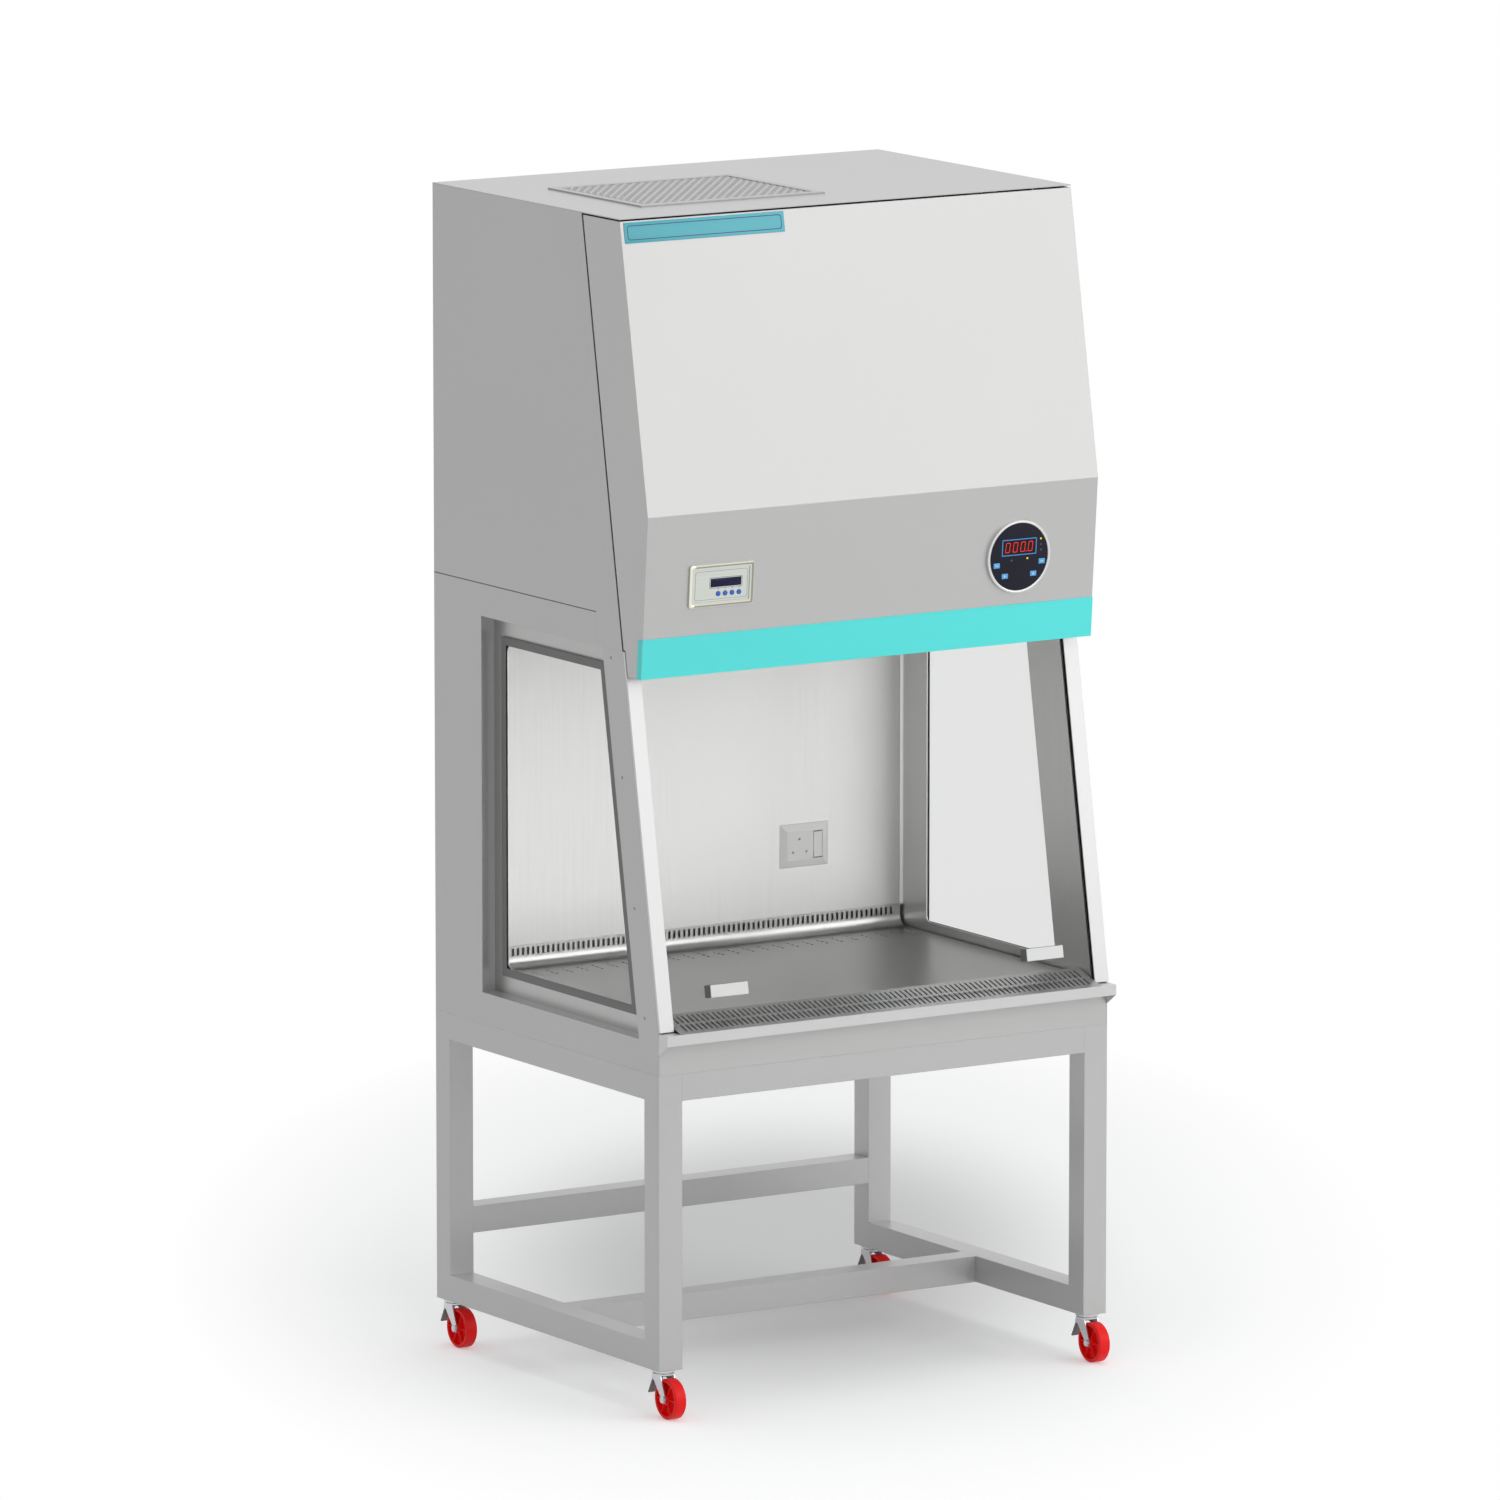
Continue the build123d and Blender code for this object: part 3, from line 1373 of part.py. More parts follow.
# ---------------------------------------------------------------- mains socket
rocker_x = socket_x + 28.0
rocker_y = chamber_back - socket_raise / 2 + 0.5
trunnion_radius = 1.5
trunnion_length = 2.0
pin_holes = ((-13.5, 13.0), (-28.0, -12.0), (2.0, -12.0))
socket_face = Plane(origin=(socket_x, chamber_back, socket_z), x_dir=(1, 0, 0), z_dir=(0, -1, 0))
with BuildPart() as socket_plate:
    with BuildSketch(socket_face) as socket_foot:
        Rectangle(socket_width, socket_height)
    with BuildSketch(socket_face.offset(socket_raise)) as socket_front:
        Rectangle(socket_width - 2 * socket_bevel, socket_height - 2 * socket_bevel)
    loft()
    with BuildSketch(socket_face) as rocker_pocket:
        with Locations((rocker_x - socket_x, 0)):
            Rectangle(rocker_width + 2 * free_gap, rocker_height + 4.0)
    extrude(amount=socket_raise, mode=Mode.SUBTRACT)
    with BuildSketch(socket_face.offset(socket_raise)) as socket_pins:
        with Locations(*pin_holes):
            Circle(2.6)
    extrude(amount=-socket_raise + 1.0, mode=Mode.SUBTRACT)
    with BuildSketch(side_section(rocker_x - rocker_width / 2 - trunnion_length - free_gap)) as trunnion_holes:
        with Locations((rocker_y, socket_z)):
            Circle(trunnion_radius + running_fit)
    extrude(amount=rocker_width + 2 * trunnion_length + 2 * free_gap, mode=Mode.SUBTRACT)
save(socket_plate.part, "socket_plate")

# Rocker: at rest its lower end is pressed in.
with BuildPart() as rocker_switch:
    rocker_plane = side_section(rocker_x - rocker_width / 2)
    rocker_plane.origin = (rocker_plane.origin.X, rocker_y, socket_z)
    with BuildSketch(rocker_plane.rotated((0, 0, rocker_tilt))) as rocker_section:
        with BuildLine():
            Polyline(
                (-5.0, rocker_height / 2),
                (-3.5, 0),
                (-5.0, -rocker_height / 2),
                (-1.0, -rocker_height / 2),
                (3.5, -6.0),
                (3.5, 6.0),
                (-1.0, rocker_height / 2),
                close=True,
            )
        make_face()
    extrude(amount=rocker_width)
    trunnion_plane = rocker_plane.offset(-trunnion_length)
    with BuildSketch(trunnion_plane) as trunnions:
        Circle(trunnion_radius)
    extrude(amount=rocker_width + 2 * trunnion_length)
save(rocker_switch.part, "rocker_switch")
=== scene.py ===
import json
import math

import bmesh
import bpy
from mathutils import Matrix, Vector

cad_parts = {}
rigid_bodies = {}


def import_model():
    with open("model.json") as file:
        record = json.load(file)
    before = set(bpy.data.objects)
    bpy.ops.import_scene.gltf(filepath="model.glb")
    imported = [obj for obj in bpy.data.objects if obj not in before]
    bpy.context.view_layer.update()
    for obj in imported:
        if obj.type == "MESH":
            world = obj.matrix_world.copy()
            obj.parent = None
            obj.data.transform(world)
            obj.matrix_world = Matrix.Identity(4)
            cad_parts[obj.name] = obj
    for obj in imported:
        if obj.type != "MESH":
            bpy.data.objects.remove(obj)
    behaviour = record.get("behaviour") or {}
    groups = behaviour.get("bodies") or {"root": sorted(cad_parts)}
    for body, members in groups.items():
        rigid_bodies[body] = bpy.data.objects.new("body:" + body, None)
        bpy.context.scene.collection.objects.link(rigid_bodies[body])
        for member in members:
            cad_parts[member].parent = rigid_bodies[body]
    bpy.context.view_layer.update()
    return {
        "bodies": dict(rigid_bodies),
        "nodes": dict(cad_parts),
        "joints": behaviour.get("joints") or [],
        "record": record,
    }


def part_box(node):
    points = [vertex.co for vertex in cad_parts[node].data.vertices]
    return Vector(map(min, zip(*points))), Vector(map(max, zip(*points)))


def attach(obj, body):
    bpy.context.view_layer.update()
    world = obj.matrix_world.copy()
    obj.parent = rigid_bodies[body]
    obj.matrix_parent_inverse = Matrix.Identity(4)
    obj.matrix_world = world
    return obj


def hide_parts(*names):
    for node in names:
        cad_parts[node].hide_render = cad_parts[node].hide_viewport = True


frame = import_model()
nodes = frame["nodes"]

# ------------------------------------------------------------------ studio
# A pale floor with soft daylight from above and in front. The camera stands to the
# left of the cabinet with a long lens.
casing_depth = 0.790
casing_centre_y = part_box("rear_panel")[1].y - casing_depth / 2


def at(x, y, z):
    """A place in millimetres from the casing's middle on the floor, in metres."""
    return Vector((x / 1000, y / 1000 + casing_centre_y, z / 1000))


camera_data = bpy.data.cameras.new("studio_camera")
camera_data.lens = 305.73
camera_data.sensor_width = 36
camera_data.clip_end = 200
camera = bpy.data.objects.new("studio_camera", camera_data)
bpy.context.scene.collection.objects.link(camera)
camera_turn = math.radians(32.2375)
camera_rise = math.radians(9.4185)
camera_distance = 23.6646
camera_right = Vector((math.cos(camera_turn), -math.sin(camera_turn), 0))
away = Vector((math.sin(camera_turn), math.cos(camera_turn), 0))
to_camera = Vector((0, 0, math.sin(camera_rise))) - away * math.cos(camera_rise)
camera_up = to_camera.cross(camera_right)
aim = at(0, 0, 1077.9) + camera_right * -0.03806 + camera_up * 0.06328
camera.location = aim + to_camera * camera_distance
camera.rotation_mode = "QUATERNION"
camera.rotation_quaternion = (-to_camera).to_track_quat("-Z", "Y")
bpy.context.scene.camera = camera
bpy.context.scene.view_settings.view_transform = "Standard"


def wire(tree, source, target):
    """Joins an output to an input."""
    tree.links.new(source, target)


def math_node(tree, operation, first, second=None):
    """The result of a math node on one or two numbers or sockets."""
    node = tree.nodes.new("ShaderNodeMath")
    node.operation = operation
    for index, value in enumerate((first, second)):
        if value is None:
            continue
        if isinstance(value, (int, float)):
            node.inputs[index].default_value = value
        else:
            wire(tree, value, node.inputs[index])
    return node.outputs[0]


def map_range(tree, value, low, high, first=0.0, last=1.0, smooth=False):
    """value mapped from low..high to first..last and held there."""
    node = tree.nodes.new("ShaderNodeMapRange")
    node.interpolation_type = "SMOOTHSTEP" if smooth else "LINEAR"
    for socket_name, limit in (("From Min", low), ("From Max", high), ("To Min", first), ("To Max", last)):
        node.inputs[socket_name].default_value = limit
    wire(tree, value, node.inputs["Value"])
    return node.outputs["Result"]


def scaled(tree, colour, factor):
    """A colour, fixed or from a socket, times factor."""
    node = tree.nodes.new("ShaderNodeVectorMath")
    node.operation = "SCALE"
    if isinstance(colour, tuple):
        node.inputs[0].default_value = colour
    else:
        wire(tree, colour, node.inputs[0])
    wire(tree, factor, node.inputs["Scale"])
    return node.outputs["Vector"]


def mixed(tree, factor, first, second):
    """Two shaders mixed by factor."""
    node = tree.nodes.new("ShaderNodeMixShader")
    for socket, target in zip((factor, first, second), node.inputs):
        wire(tree, socket, target)
    return node.outputs[0]


def directly_seen(tree):
    """1 for what the camera sees straight, in a mirror or through glass."""
    path = tree.nodes.new("ShaderNodeLightPath").outputs
    mirrored = math_node(tree, "MAXIMUM", path["Is Camera Ray"], path["Is Glossy Ray"])
    return math_node(tree, "MAXIMUM", mirrored, path["Is Transmission Ray"])


world = bpy.data.worlds.new("studio_air")
bpy.context.scene.world = world
world.use_nodes = True
air = world.node_tree
air.nodes.clear()
skies = []
for sky_colour, sky_strength in (((0.97, 0.985, 1.0, 1), 0.42), ((1, 1, 1, 1), 1.0)):
    sky = air.nodes.new("ShaderNodeBackground")
    sky.inputs["Color"].default_value = sky_colour
    sky.inputs["Strength"].default_value = sky_strength
    skies.append(sky.outputs[0])
air_out = air.nodes.new("ShaderNodeOutputWorld")
wire(air, mixed(air, directly_seen(air), *skies), air_out.inputs["Surface"])

floor_reach = 40.0
floor_corners = [(x * floor_reach, y * floor_reach, -0.0005) for x, y in ((-1, -1), (1, -1), (1, 1), (-1, 1))]
floor_mesh = bpy.data.meshes.new("studio_floor")
floor_mesh.from_pydata(floor_corners, [], [(0, 1, 2, 3)])
floor = bpy.data.objects.new("studio_floor", floor_mesh)
bpy.context.scene.collection.objects.link(floor)
floor_paint = bpy.data.materials.new("floor_paint")
floor_paint.use_nodes = True
paint = floor_paint.node_tree
paint.nodes.clear()
floor_tone = (0.88, 0.88, 0.88)
paint_plain = paint.nodes.new("ShaderNodeBsdfDiffuse")
paint_plain.inputs["Color"].default_value = (*floor_tone, 1)
# A painted shadow: a long oval about the cabinet and the ground behind it, where the floor is painted dimmest
# in its middle and fades to white round it.
paint_place = paint.nodes.new("ShaderNodeTexCoord")
shadow_oval = paint.nodes.new("ShaderNodeMapping")
shadow_oval.vector_type = "TEXTURE"
shadow_oval.inputs["Rotation"].default_value = (0, 0, -camera_turn)
shadow_oval.inputs["Location"].default_value = tuple(camera_right * 0.03 + away)
shadow_oval.inputs["Scale"].default_value = (0.75, 1.6, 1)
paint_far = paint.nodes.new("ShaderNodeVectorMath")
paint_far.operation = "LENGTH"
wire(paint, paint_place.outputs["Object"], shadow_oval.inputs["Vector"])
wire(paint, shadow_oval.outputs["Vector"], paint_far.inputs[0])
painted_shadow_dim = map_range(paint, paint_far.outputs["Value"], 0.3, 1.0, 0.62, 1.0, smooth=True)
paint_shaded = paint.nodes.new("ShaderNodeBsdfDiffuse")
wire(paint, scaled(paint, floor_tone, painted_shadow_dim), paint_shaded.inputs["Color"])
paint_lift = paint.nodes.new("ShaderNodeEmission")
wire(paint, math_node(paint, "MULTIPLY", painted_shadow_dim, 0.32), paint_lift.inputs["Strength"])
paint_near = paint.nodes.new("ShaderNodeAddShader")
wire(paint, paint_shaded.outputs[0], paint_near.inputs[0])
wire(paint, paint_lift.outputs[0], paint_near.inputs[1])
paint_white = paint.nodes.new("ShaderNodeEmission")
paint_white.inputs["Strength"].default_value = 1.0
paint_edge = map_range(paint, paint_far.outputs["Value"], 1.0, 1.6)
paint_faded = mixed(paint, paint_edge, paint_near.outputs[0], paint_white.outputs[0])
paint_out = paint.nodes.new("ShaderNodeOutputMaterial")
paint_surface = mixed(paint, directly_seen(paint), paint_plain.outputs[0], paint_faded)
wire(paint, paint_surface, paint_out.inputs["Surface"])
floor_mesh.materials.append(floor_paint)


def softbox(name, place, aim_at, width, height, power, mirrored=True):
    """A soft lamp, which mirrored=False keeps out of reflections."""
    lamp_data = bpy.data.lights.new(name, "AREA")
    lamp_data.shape = "RECTANGLE"
    lamp_data.size = width
    lamp_data.size_y = height
    lamp_data.energy = power
    lamp = bpy.data.objects.new(name, lamp_data)
    lamp.location = place
    lamp.rotation_mode = "QUATERNION"
    lamp.rotation_quaternion = (Vector(aim_at) - Vector(place)).to_track_quat("-Z", "Y")
    lamp.visible_glossy = mirrored
    bpy.context.scene.collection.objects.link(lamp)


softbox("front_softbox", (3.8, -6.0, 3.8), (0, 0, 1.6), 9.0, 5.0, 192)
softbox("left_softbox", (-6.0, -1.5, 3.5), (0, 0, 1.1), 3.0, 3.0, 4)
softbox("low_softbox", (1.4, -4.0, 0.35), (0, 0, 0.25), 2.0, 0.6, 15, mirrored=False)
softbox("top_softbox", (0, 0, 6.0), (0, 0, 0), 4.0, 4.0, 76)

# ------------------------------------------------------------------ enamelled sheet
# Folded steel sheet under a satin enamel. Its edges are a little rounded by the coat, and
# the coat has a faint orange-peel and cloud of tone.


def new_group(name, inputs, outputs):
    """A shader node group with the named sockets, and its two end nodes."""
    group = bpy.data.node_groups.new(name, "ShaderNodeTree")
    for socket_name, kind, value in inputs:
        socket = group.interface.new_socket(socket_name, in_out="INPUT", socket_type=kind)
        socket.default_value = value
    for socket_name, kind in outputs:
        group.interface.new_socket(socket_name, in_out="OUTPUT", socket_type=kind)
    return group, group.nodes.new("NodeGroupInput"), group.nodes.new("NodeGroupOutput")


# Round edge: turns the normal near an edge, as a rounded corner would.
round_edge, edge_in, edge_out = new_group(
    "round_edge", (("Radius", "NodeSocketFloat", 0.001),), (("Normal", "NodeSocketVector"),)
)
edge_bevel = round_edge.nodes.new("ShaderNodeBevel")
edge_bevel.samples = 4
wire(round_edge, edge_in.outputs["Radius"], edge_bevel.inputs["Radius"])
wire(round_edge, edge_bevel.outputs["Normal"], edge_out.inputs["Normal"])

# Coat tone: slow clouds and a fine grain, both near 1, and the grain's height.
coat_tone, tone_in, tone_out = new_group(
    "coat_tone",
    (("Cloud", "NodeSocketFloat", 0.03), ("Grain", "NodeSocketFloat", 0.03)),
    (("Tone", "NodeSocketFloat"), ("Height", "NodeSocketFloat")),
)
tone_place = coat_tone.nodes.new("ShaderNodeTexCoord")
tone_cloud = coat_tone.nodes.new("ShaderNodeTexNoise")
tone_cloud.inputs["Scale"].default_value = 2.2
tone_cloud.inputs["Detail"].default_value = 3
tone_grain = coat_tone.nodes.new("ShaderNodeTexNoise")
tone_grain.inputs["Scale"].default_value = 900
tone_grain.inputs["Detail"].default_value = 2
wire(coat_tone, tone_place.outputs["Object"], tone_cloud.inputs["Vector"])
wire(coat_tone, tone_place.outputs["Object"], tone_grain.inputs["Vector"])
tone_sum = 1.0
for tone_noise, tone_share in ((tone_cloud, "Cloud"), (tone_grain, "Grain")):
    tone_swing = math_node(coat_tone, "SUBTRACT", tone_noise.outputs["Fac"], 0.5)
    tone_part = math_node(coat_tone, "MULTIPLY", tone_swing, tone_in.outputs[tone_share])
    tone_sum = math_node(coat_tone, "ADD", tone_part, tone_sum)
wire(coat_tone, tone_sum, tone_out.inputs["Tone"])
wire(coat_tone, tone_grain.outputs["Fac"], tone_out.inputs["Height"])


def use_group(material, group, **values):
    """A node group in a material, with its named inputs set."""
    node = material.node_tree.nodes.new("ShaderNodeGroup")
    node.node_tree = group
    for socket_name, value in values.items():
        node.inputs[socket_name].default_value = value
    return node


def enamel(name, colour, roughness=0.36, metallic=0.0, edge=0.0012, peel=0.02, grain=0.05):
    """Satin enamel or another even coat, with softly rounded edges."""
    material = bpy.data.materials.new(name)
    material.use_nodes = True
    tree = material.node_tree
    shader = tree.nodes["Principled BSDF"]
    shader.inputs["Metallic"].default_value = metallic
    tone = use_group(material, coat_tone, Cloud=0.05, Grain=grain)
    rounding = use_group(material, round_edge, Radius=edge)
    bump = tree.nodes.new("ShaderNodeBump")
    bump.inputs["Strength"].default_value = peel
    bump.inputs["Distance"].default_value = 0.0005
    wire(tree, tone.outputs["Height"], bump.inputs["Height"])
    wire(tree, rounding.outputs["Normal"], bump.inputs["Normal"])
    wire(tree, bump.outputs["Normal"], shader.inputs["Normal"])
    wire(tree, scaled(tree, colour, tone.outputs["Tone"]), shader.inputs["Base Color"])
    wire(tree, math_node(tree, "MULTIPLY", tone.outputs["Tone"], roughness), shader.inputs["Roughness"])
    return material


def dress(material, *names):
    """Gives CAD nodes their finish."""
    for name in names:
        nodes[name].data.materials.clear()
        nodes[name].data.materials.append(material)


def object_place(tree):
    """The place on the object, as a vector."""
    return tree.nodes.new("ShaderNodeTexCoord").outputs["Object"]


def axes(tree, vector):
    """A vector's X, Y and Z outputs."""
    split = tree.nodes.new("ShaderNodeSeparateXYZ")
    wire(tree, vector, split.inputs[0])
    return split.outputs


def set_input(material, socket_name, value):
    """Sets one value on a material's main shader."""
    material.node_tree.nodes["Principled BSDF"].inputs[socket_name].default_value = value


def retone(tree, factor):
    """Scales a material's finished base colour once more, by factor."""
    base = tree.nodes["Principled BSDF"].inputs["Base Color"]
    wire(tree, scaled(tree, base.links[0].from_socket, factor), base)


# The side sheets carry a dark joint line, where the lower panel ends under the upper casing,
# and small flush screws along the lower panels' sloping front edges.
# The white enamel is painted as lit and shaded copies of one paint: the sides, rear and upper casing are
# painted darker here, as painted shade.
side_enamel = enamel("side_enamel", (0.475, 0.475, 0.47), metallic=0.45, roughness=0.3)
seam_tree = side_enamel.node_tree
seam_half = 0.0011
seam_front_y = at(0, -181, 0).y
seam_face_x = 0.4895
seam_dark = 0.8
seam_place = object_place(seam_tree)
seam_axes = axes(seam_tree, seam_place)
seam_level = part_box("left_side_panel")[1].z
seam_rise = math_node(seam_tree, "ABSOLUTE", math_node(seam_tree, "SUBTRACT", seam_axes["Z"], seam_level))
seam_near = math_node(seam_tree, "LESS_THAN", seam_rise, seam_half)
seam_aside = math_node(seam_tree, "ABSOLUTE", seam_axes["X"])
seam_side = math_node(seam_tree, "GREATER_THAN", seam_aside, seam_face_x)
seam_line = math_node(seam_tree, "MULTIPLY", seam_near, seam_side)
seam_behind = math_node(seam_tree, "GREATER_THAN", seam_axes["Y"], seam_front_y)
seam_here = math_node(seam_tree, "MULTIPLY", seam_line, seam_behind)
screw_radius = 0.0033
screw_dark = 0.5
screw_fold = seam_tree.nodes.new("ShaderNodeVectorMath")
screw_fold.operation = "ABSOLUTE"
wire(seam_tree, seam_place, screw_fold.inputs[0])
screw_dots = 0.0
for screw_y, screw_z in ((-231.8, 1388), (-269.9, 1172), (-311.4, 936.6), (-346.2, 739)):
    screw_place = at(490, screw_y, screw_z)
    screw_far = seam_tree.nodes.new("ShaderNodeVectorMath")
    screw_far.operation = "DISTANCE"
    screw_far.inputs[1].default_value = (screw_place.x, -screw_place.y, screw_place.z)
    wire(seam_tree, screw_fold.outputs["Vector"], screw_far.inputs[0])
    screw_here = math_node(seam_tree, "LESS_THAN", screw_far.outputs["Value"], screw_radius)
    screw_dots = math_node(seam_tree, "ADD", screw_here, screw_dots)
screw_ahead = math_node(seam_tree, "LESS_THAN", seam_axes["Y"], 0.0)
screw_dots = math_node(seam_tree, "MULTIPLY", screw_dots, screw_ahead)
seam_shade = math_node(seam_tree, "MULTIPLY", seam_here, seam_dark)
screw_shade = math_node(seam_tree, "MULTIPLY", screw_dots, screw_dark)
side_shade = math_node(seam_tree, "ADD", seam_shade, screw_shade)
retone(seam_tree, math_node(seam_tree, "SUBTRACT", 1.0, side_shade))
dress(side_enamel, "left_side_panel", "right_side_panel", "rear_panel", "upper_casing")
# The front copy of the white enamel is painted lighter: painted light.
front_enamel = enamel("front_enamel", (0.54, 0.535, 0.53), metallic=0.35, roughness=0.3)
dress(front_enamel, "hood", "base_shell")
# The top copy of the white enamel is painted darker: painted shade.
top_enamel = enamel("top_enamel", (0.45, 0.45, 0.456), metallic=0.5, roughness=0.3)
dress(top_enamel, "top_sheet")
# The window posts' copy of the white enamel is painted lightest: painted light.
post_enamel = enamel("post_enamel", (0.66, 0.66, 0.655), metallic=0.35, roughness=0.28)
dress(post_enamel, "left_window_post", "right_window_post", "armrest")

# ------------------------------------------------------------------ stand
# Welded square steel tube with a satin coat, ground flush at the joints. Cross tubes join
# the two side frames.
stand_coat = enamel("stand_coat", (0.55, 0.55, 0.545), roughness=0.3, metallic=0.25, edge=0.002)
dress(stand_coat, "left_stand_frame", "right_stand_frame", "stand_cross_tubes")

# ------------------------------------------------------------------ casters
# Bright zinc-plated forks with a red moulded wheel and a dark sheet-steel brake pedal. A
# domed axle nut on a washer closes each end of the axle.
zinc = enamel("zinc_plate", (0.62, 0.62, 0.64), roughness=0.25, metallic=0.9, edge=0.0006)
wheel_red = enamel("wheel_red", (0.98, 0.010, 0.010), roughness=0.42, edge=0.0010)
set_input(wheel_red, "Specular IOR Level", 0.25)
pedal_dark = enamel("pedal_dark", (0.16, 0.16, 0.165), roughness=0.35, metallic=0.5, edge=0.0005)
dress(zinc, "caster_plates")


def ring(radius, count=24):
    """Points of a circle about the origin, in millimetres."""
    turns = [math.tau * k / count for k in range(count)]
    return [(radius * math.cos(angle), radius * math.sin(angle)) for angle in turns]


def face_frame(origin, across, up):
    """A face to build on: across and up lie in it, and the third axis stands out of it."""
    across, up = Vector(across).normalized(), Vector(up).normalized()
    out = across.cross(up)
    return Matrix.Translation(origin) @ Matrix((across, up, out)).transposed().to_4x4()


def stack(mesh, frame, layers, middle=(0, 0), closed=False):
    """Skins a row of (outline, height) layers over a face; closed joins the last to the first."""
    rows = []
    for outline, height in layers:
        places = [Vector(((u + middle[0]) / 1000, (v + middle[1]) / 1000, height / 1000)) for u, v in outline]
        rows.append([mesh.verts.new(frame @ place) for place in places])
    pairs = list(zip(rows, rows[1:]))
    if closed:
        pairs.append((rows[-1], rows[0]))
    for low, high in pairs:
        for k in range(len(low)):
            after = (k + 1) % len(low)
            mesh.faces.new((low[k], low[after], high[after], high[k]))
    if not closed:
        mesh.faces.new(rows[0][::-1])
        mesh.faces.new(rows[-1])


def piece(name, mesh, material, body, smooth=35):
    """Turns a mesh into a named piece that rides on a body."""
    bmesh.ops.recalc_face_normals(mesh, faces=mesh.faces)
    data = bpy.data.meshes.new(name)
    mesh.to_mesh(data)
    mesh.free()
    data.shade_smooth()
    data.set_sharp_from_angle(angle=math.radians(smooth))
    data.materials.append(material)
    made = bpy.data.objects.new(name, data)
    bpy.context.scene.collection.objects.link(made)
    if body:
        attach(made, body)
    return made


nut_sink = 0.0015
for corner in ("front_left", "front_right", "rear_left", "rear_right"):
    dress(zinc, f"{corner}_caster_fork")
    dress(wheel_red, f"{corner}_caster_wheel")
    dress(pedal_dark, f"{corner}_caster_brake")
    fork_low, fork_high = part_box(f"{corner}_caster_fork")
    wheel_low, wheel_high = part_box(f"{corner}_caster_wheel")
    nuts = bmesh.new()
    wheel_middle = (wheel_low + wheel_high) / 2
    for side, end_x in ((-1, fork_low.x), (1, fork_high.x)):
        seat = Vector((end_x - side * nut_sink, wheel_middle.y, wheel_middle.z))
        nut_face = face_frame(seat, (0, side, 0), (0, 0, 1))
        stack(nuts, nut_face, [(ring(6.4), 0), (ring(6.4), 0.7), (ring(6.0), 1.0)])
        stack(nuts, nut_face, [(ring(5.2, 6), 0.9), (ring(5.2, 6), 1.35), (ring(4.6, 6), 1.48)])
    piece(f"{corner}_axle_nuts", nuts, zinc, f"{corner}_caster_fork", smooth=25)

# ------------------------------------------------------------------ stainless chamber
# Brushed stainless sheet, folded and welded: back and side walls, the dished work surface,
# the sloping air grille and the ceiling.
brushing, brush_in, brush_out = new_group(
    "brushing",
    (("Along", "NodeSocketVector", (0.6, 34, 34)), ("Strength", "NodeSocketFloat", 0.1)),
    (("Tone", "NodeSocketFloat"), ("Height", "NodeSocketFloat")),
)
brush_place = brushing.nodes.new("ShaderNodeTexCoord")
brush_stretch = brushing.nodes.new("ShaderNodeVectorMath")
brush_stretch.operation = "MULTIPLY"
brush_noise = brushing.nodes.new("ShaderNodeTexNoise")
brush_noise.inputs["Scale"].default_value = 12
brush_noise.inputs["Detail"].default_value = 3
brush_noise.inputs["Roughness"].default_value = 0.5
wire(brushing, brush_place.outputs["Object"], brush_stretch.inputs[0])
wire(brushing, brush_in.outputs["Along"], brush_stretch.inputs[1])
wire(brushing, brush_stretch.outputs["Vector"], brush_noise.inputs["Vector"])
brush_swing = math_node(brushing, "SUBTRACT", brush_noise.outputs["Fac"], 0.5)
brush_streak = math_node(brushing, "MULTIPLY", brush_swing, brush_in.outputs["Strength"])
wire(brushing, math_node(brushing, "ADD", brush_streak, 1.0), brush_out.inputs["Tone"])
wire(brushing, brush_noise.outputs["Fac"], brush_out.inputs["Height"])


def brushed(name, colour, along, roughness=0.3, strength=0.12, edge=0.0008):
    """Brushed bare metal; along is how often the streaks change in X, Y and Z."""
    material = bpy.data.materials.new(name)
    material.use_nodes = True
    tree = material.node_tree
    shader = tree.nodes["Principled BSDF"]
    shader.inputs["Metallic"].default_value = 1.0
    streaks = use_group(material, brushing, Along=along, Strength=strength)
    rounding = use_group(material, round_edge, Radius=edge)
    bump = tree.nodes.new("ShaderNodeBump")
    bump.inputs["Strength"].default_value = 0.02
    bump.inputs["Distance"].default_value = 0.0002
    wire(tree, streaks.outputs["Height"], bump.inputs["Height"])
    wire(tree, rounding.outputs["Normal"], bump.inputs["Normal"])
    wire(tree, bump.outputs["Normal"], shader.inputs["Normal"])
    wire(tree, scaled(tree, colour, streaks.outputs["Tone"]), shader.inputs["Base Color"])
    wire(tree, math_node(tree, "MULTIPLY", streaks.outputs["Tone"], roughness), shader.inputs["Roughness"])
    return material


wall_steel = brushed("wall_steel", (0.76, 0.76, 0.75), (24, 24, 0.5), roughness=0.52)
dress(wall_steel, "back_wall")
side_steel = brushed("side_steel", (0.68, 0.68, 0.675), (24, 24, 0.5), roughness=0.34)
# Their outer faces, in the shaded gap behind the side windows, are painted darker: painted shade.
side_tree = side_steel.node_tree
outer_shade_depth = 0.4
outer_face_limit = 0.2
side_face = side_tree.nodes.new("ShaderNodeNewGeometry")
side_turn = axes(side_tree, side_face.outputs["True Normal"])["X"]
side_outward = math_node(side_tree, "MULTIPLY", axes(side_tree, object_place(side_tree))["X"], side_turn)
outer_face_mask = math_node(side_tree, "GREATER_THAN", side_outward, outer_face_limit)
painted_outer_shade = math_node(side_tree, "MULTIPLY", outer_face_mask, outer_shade_depth)
retone(side_tree, math_node(side_tree, "SUBTRACT", 1.0, painted_outer_shade))
dress(side_steel, "left_inner_wall", "right_inner_wall")

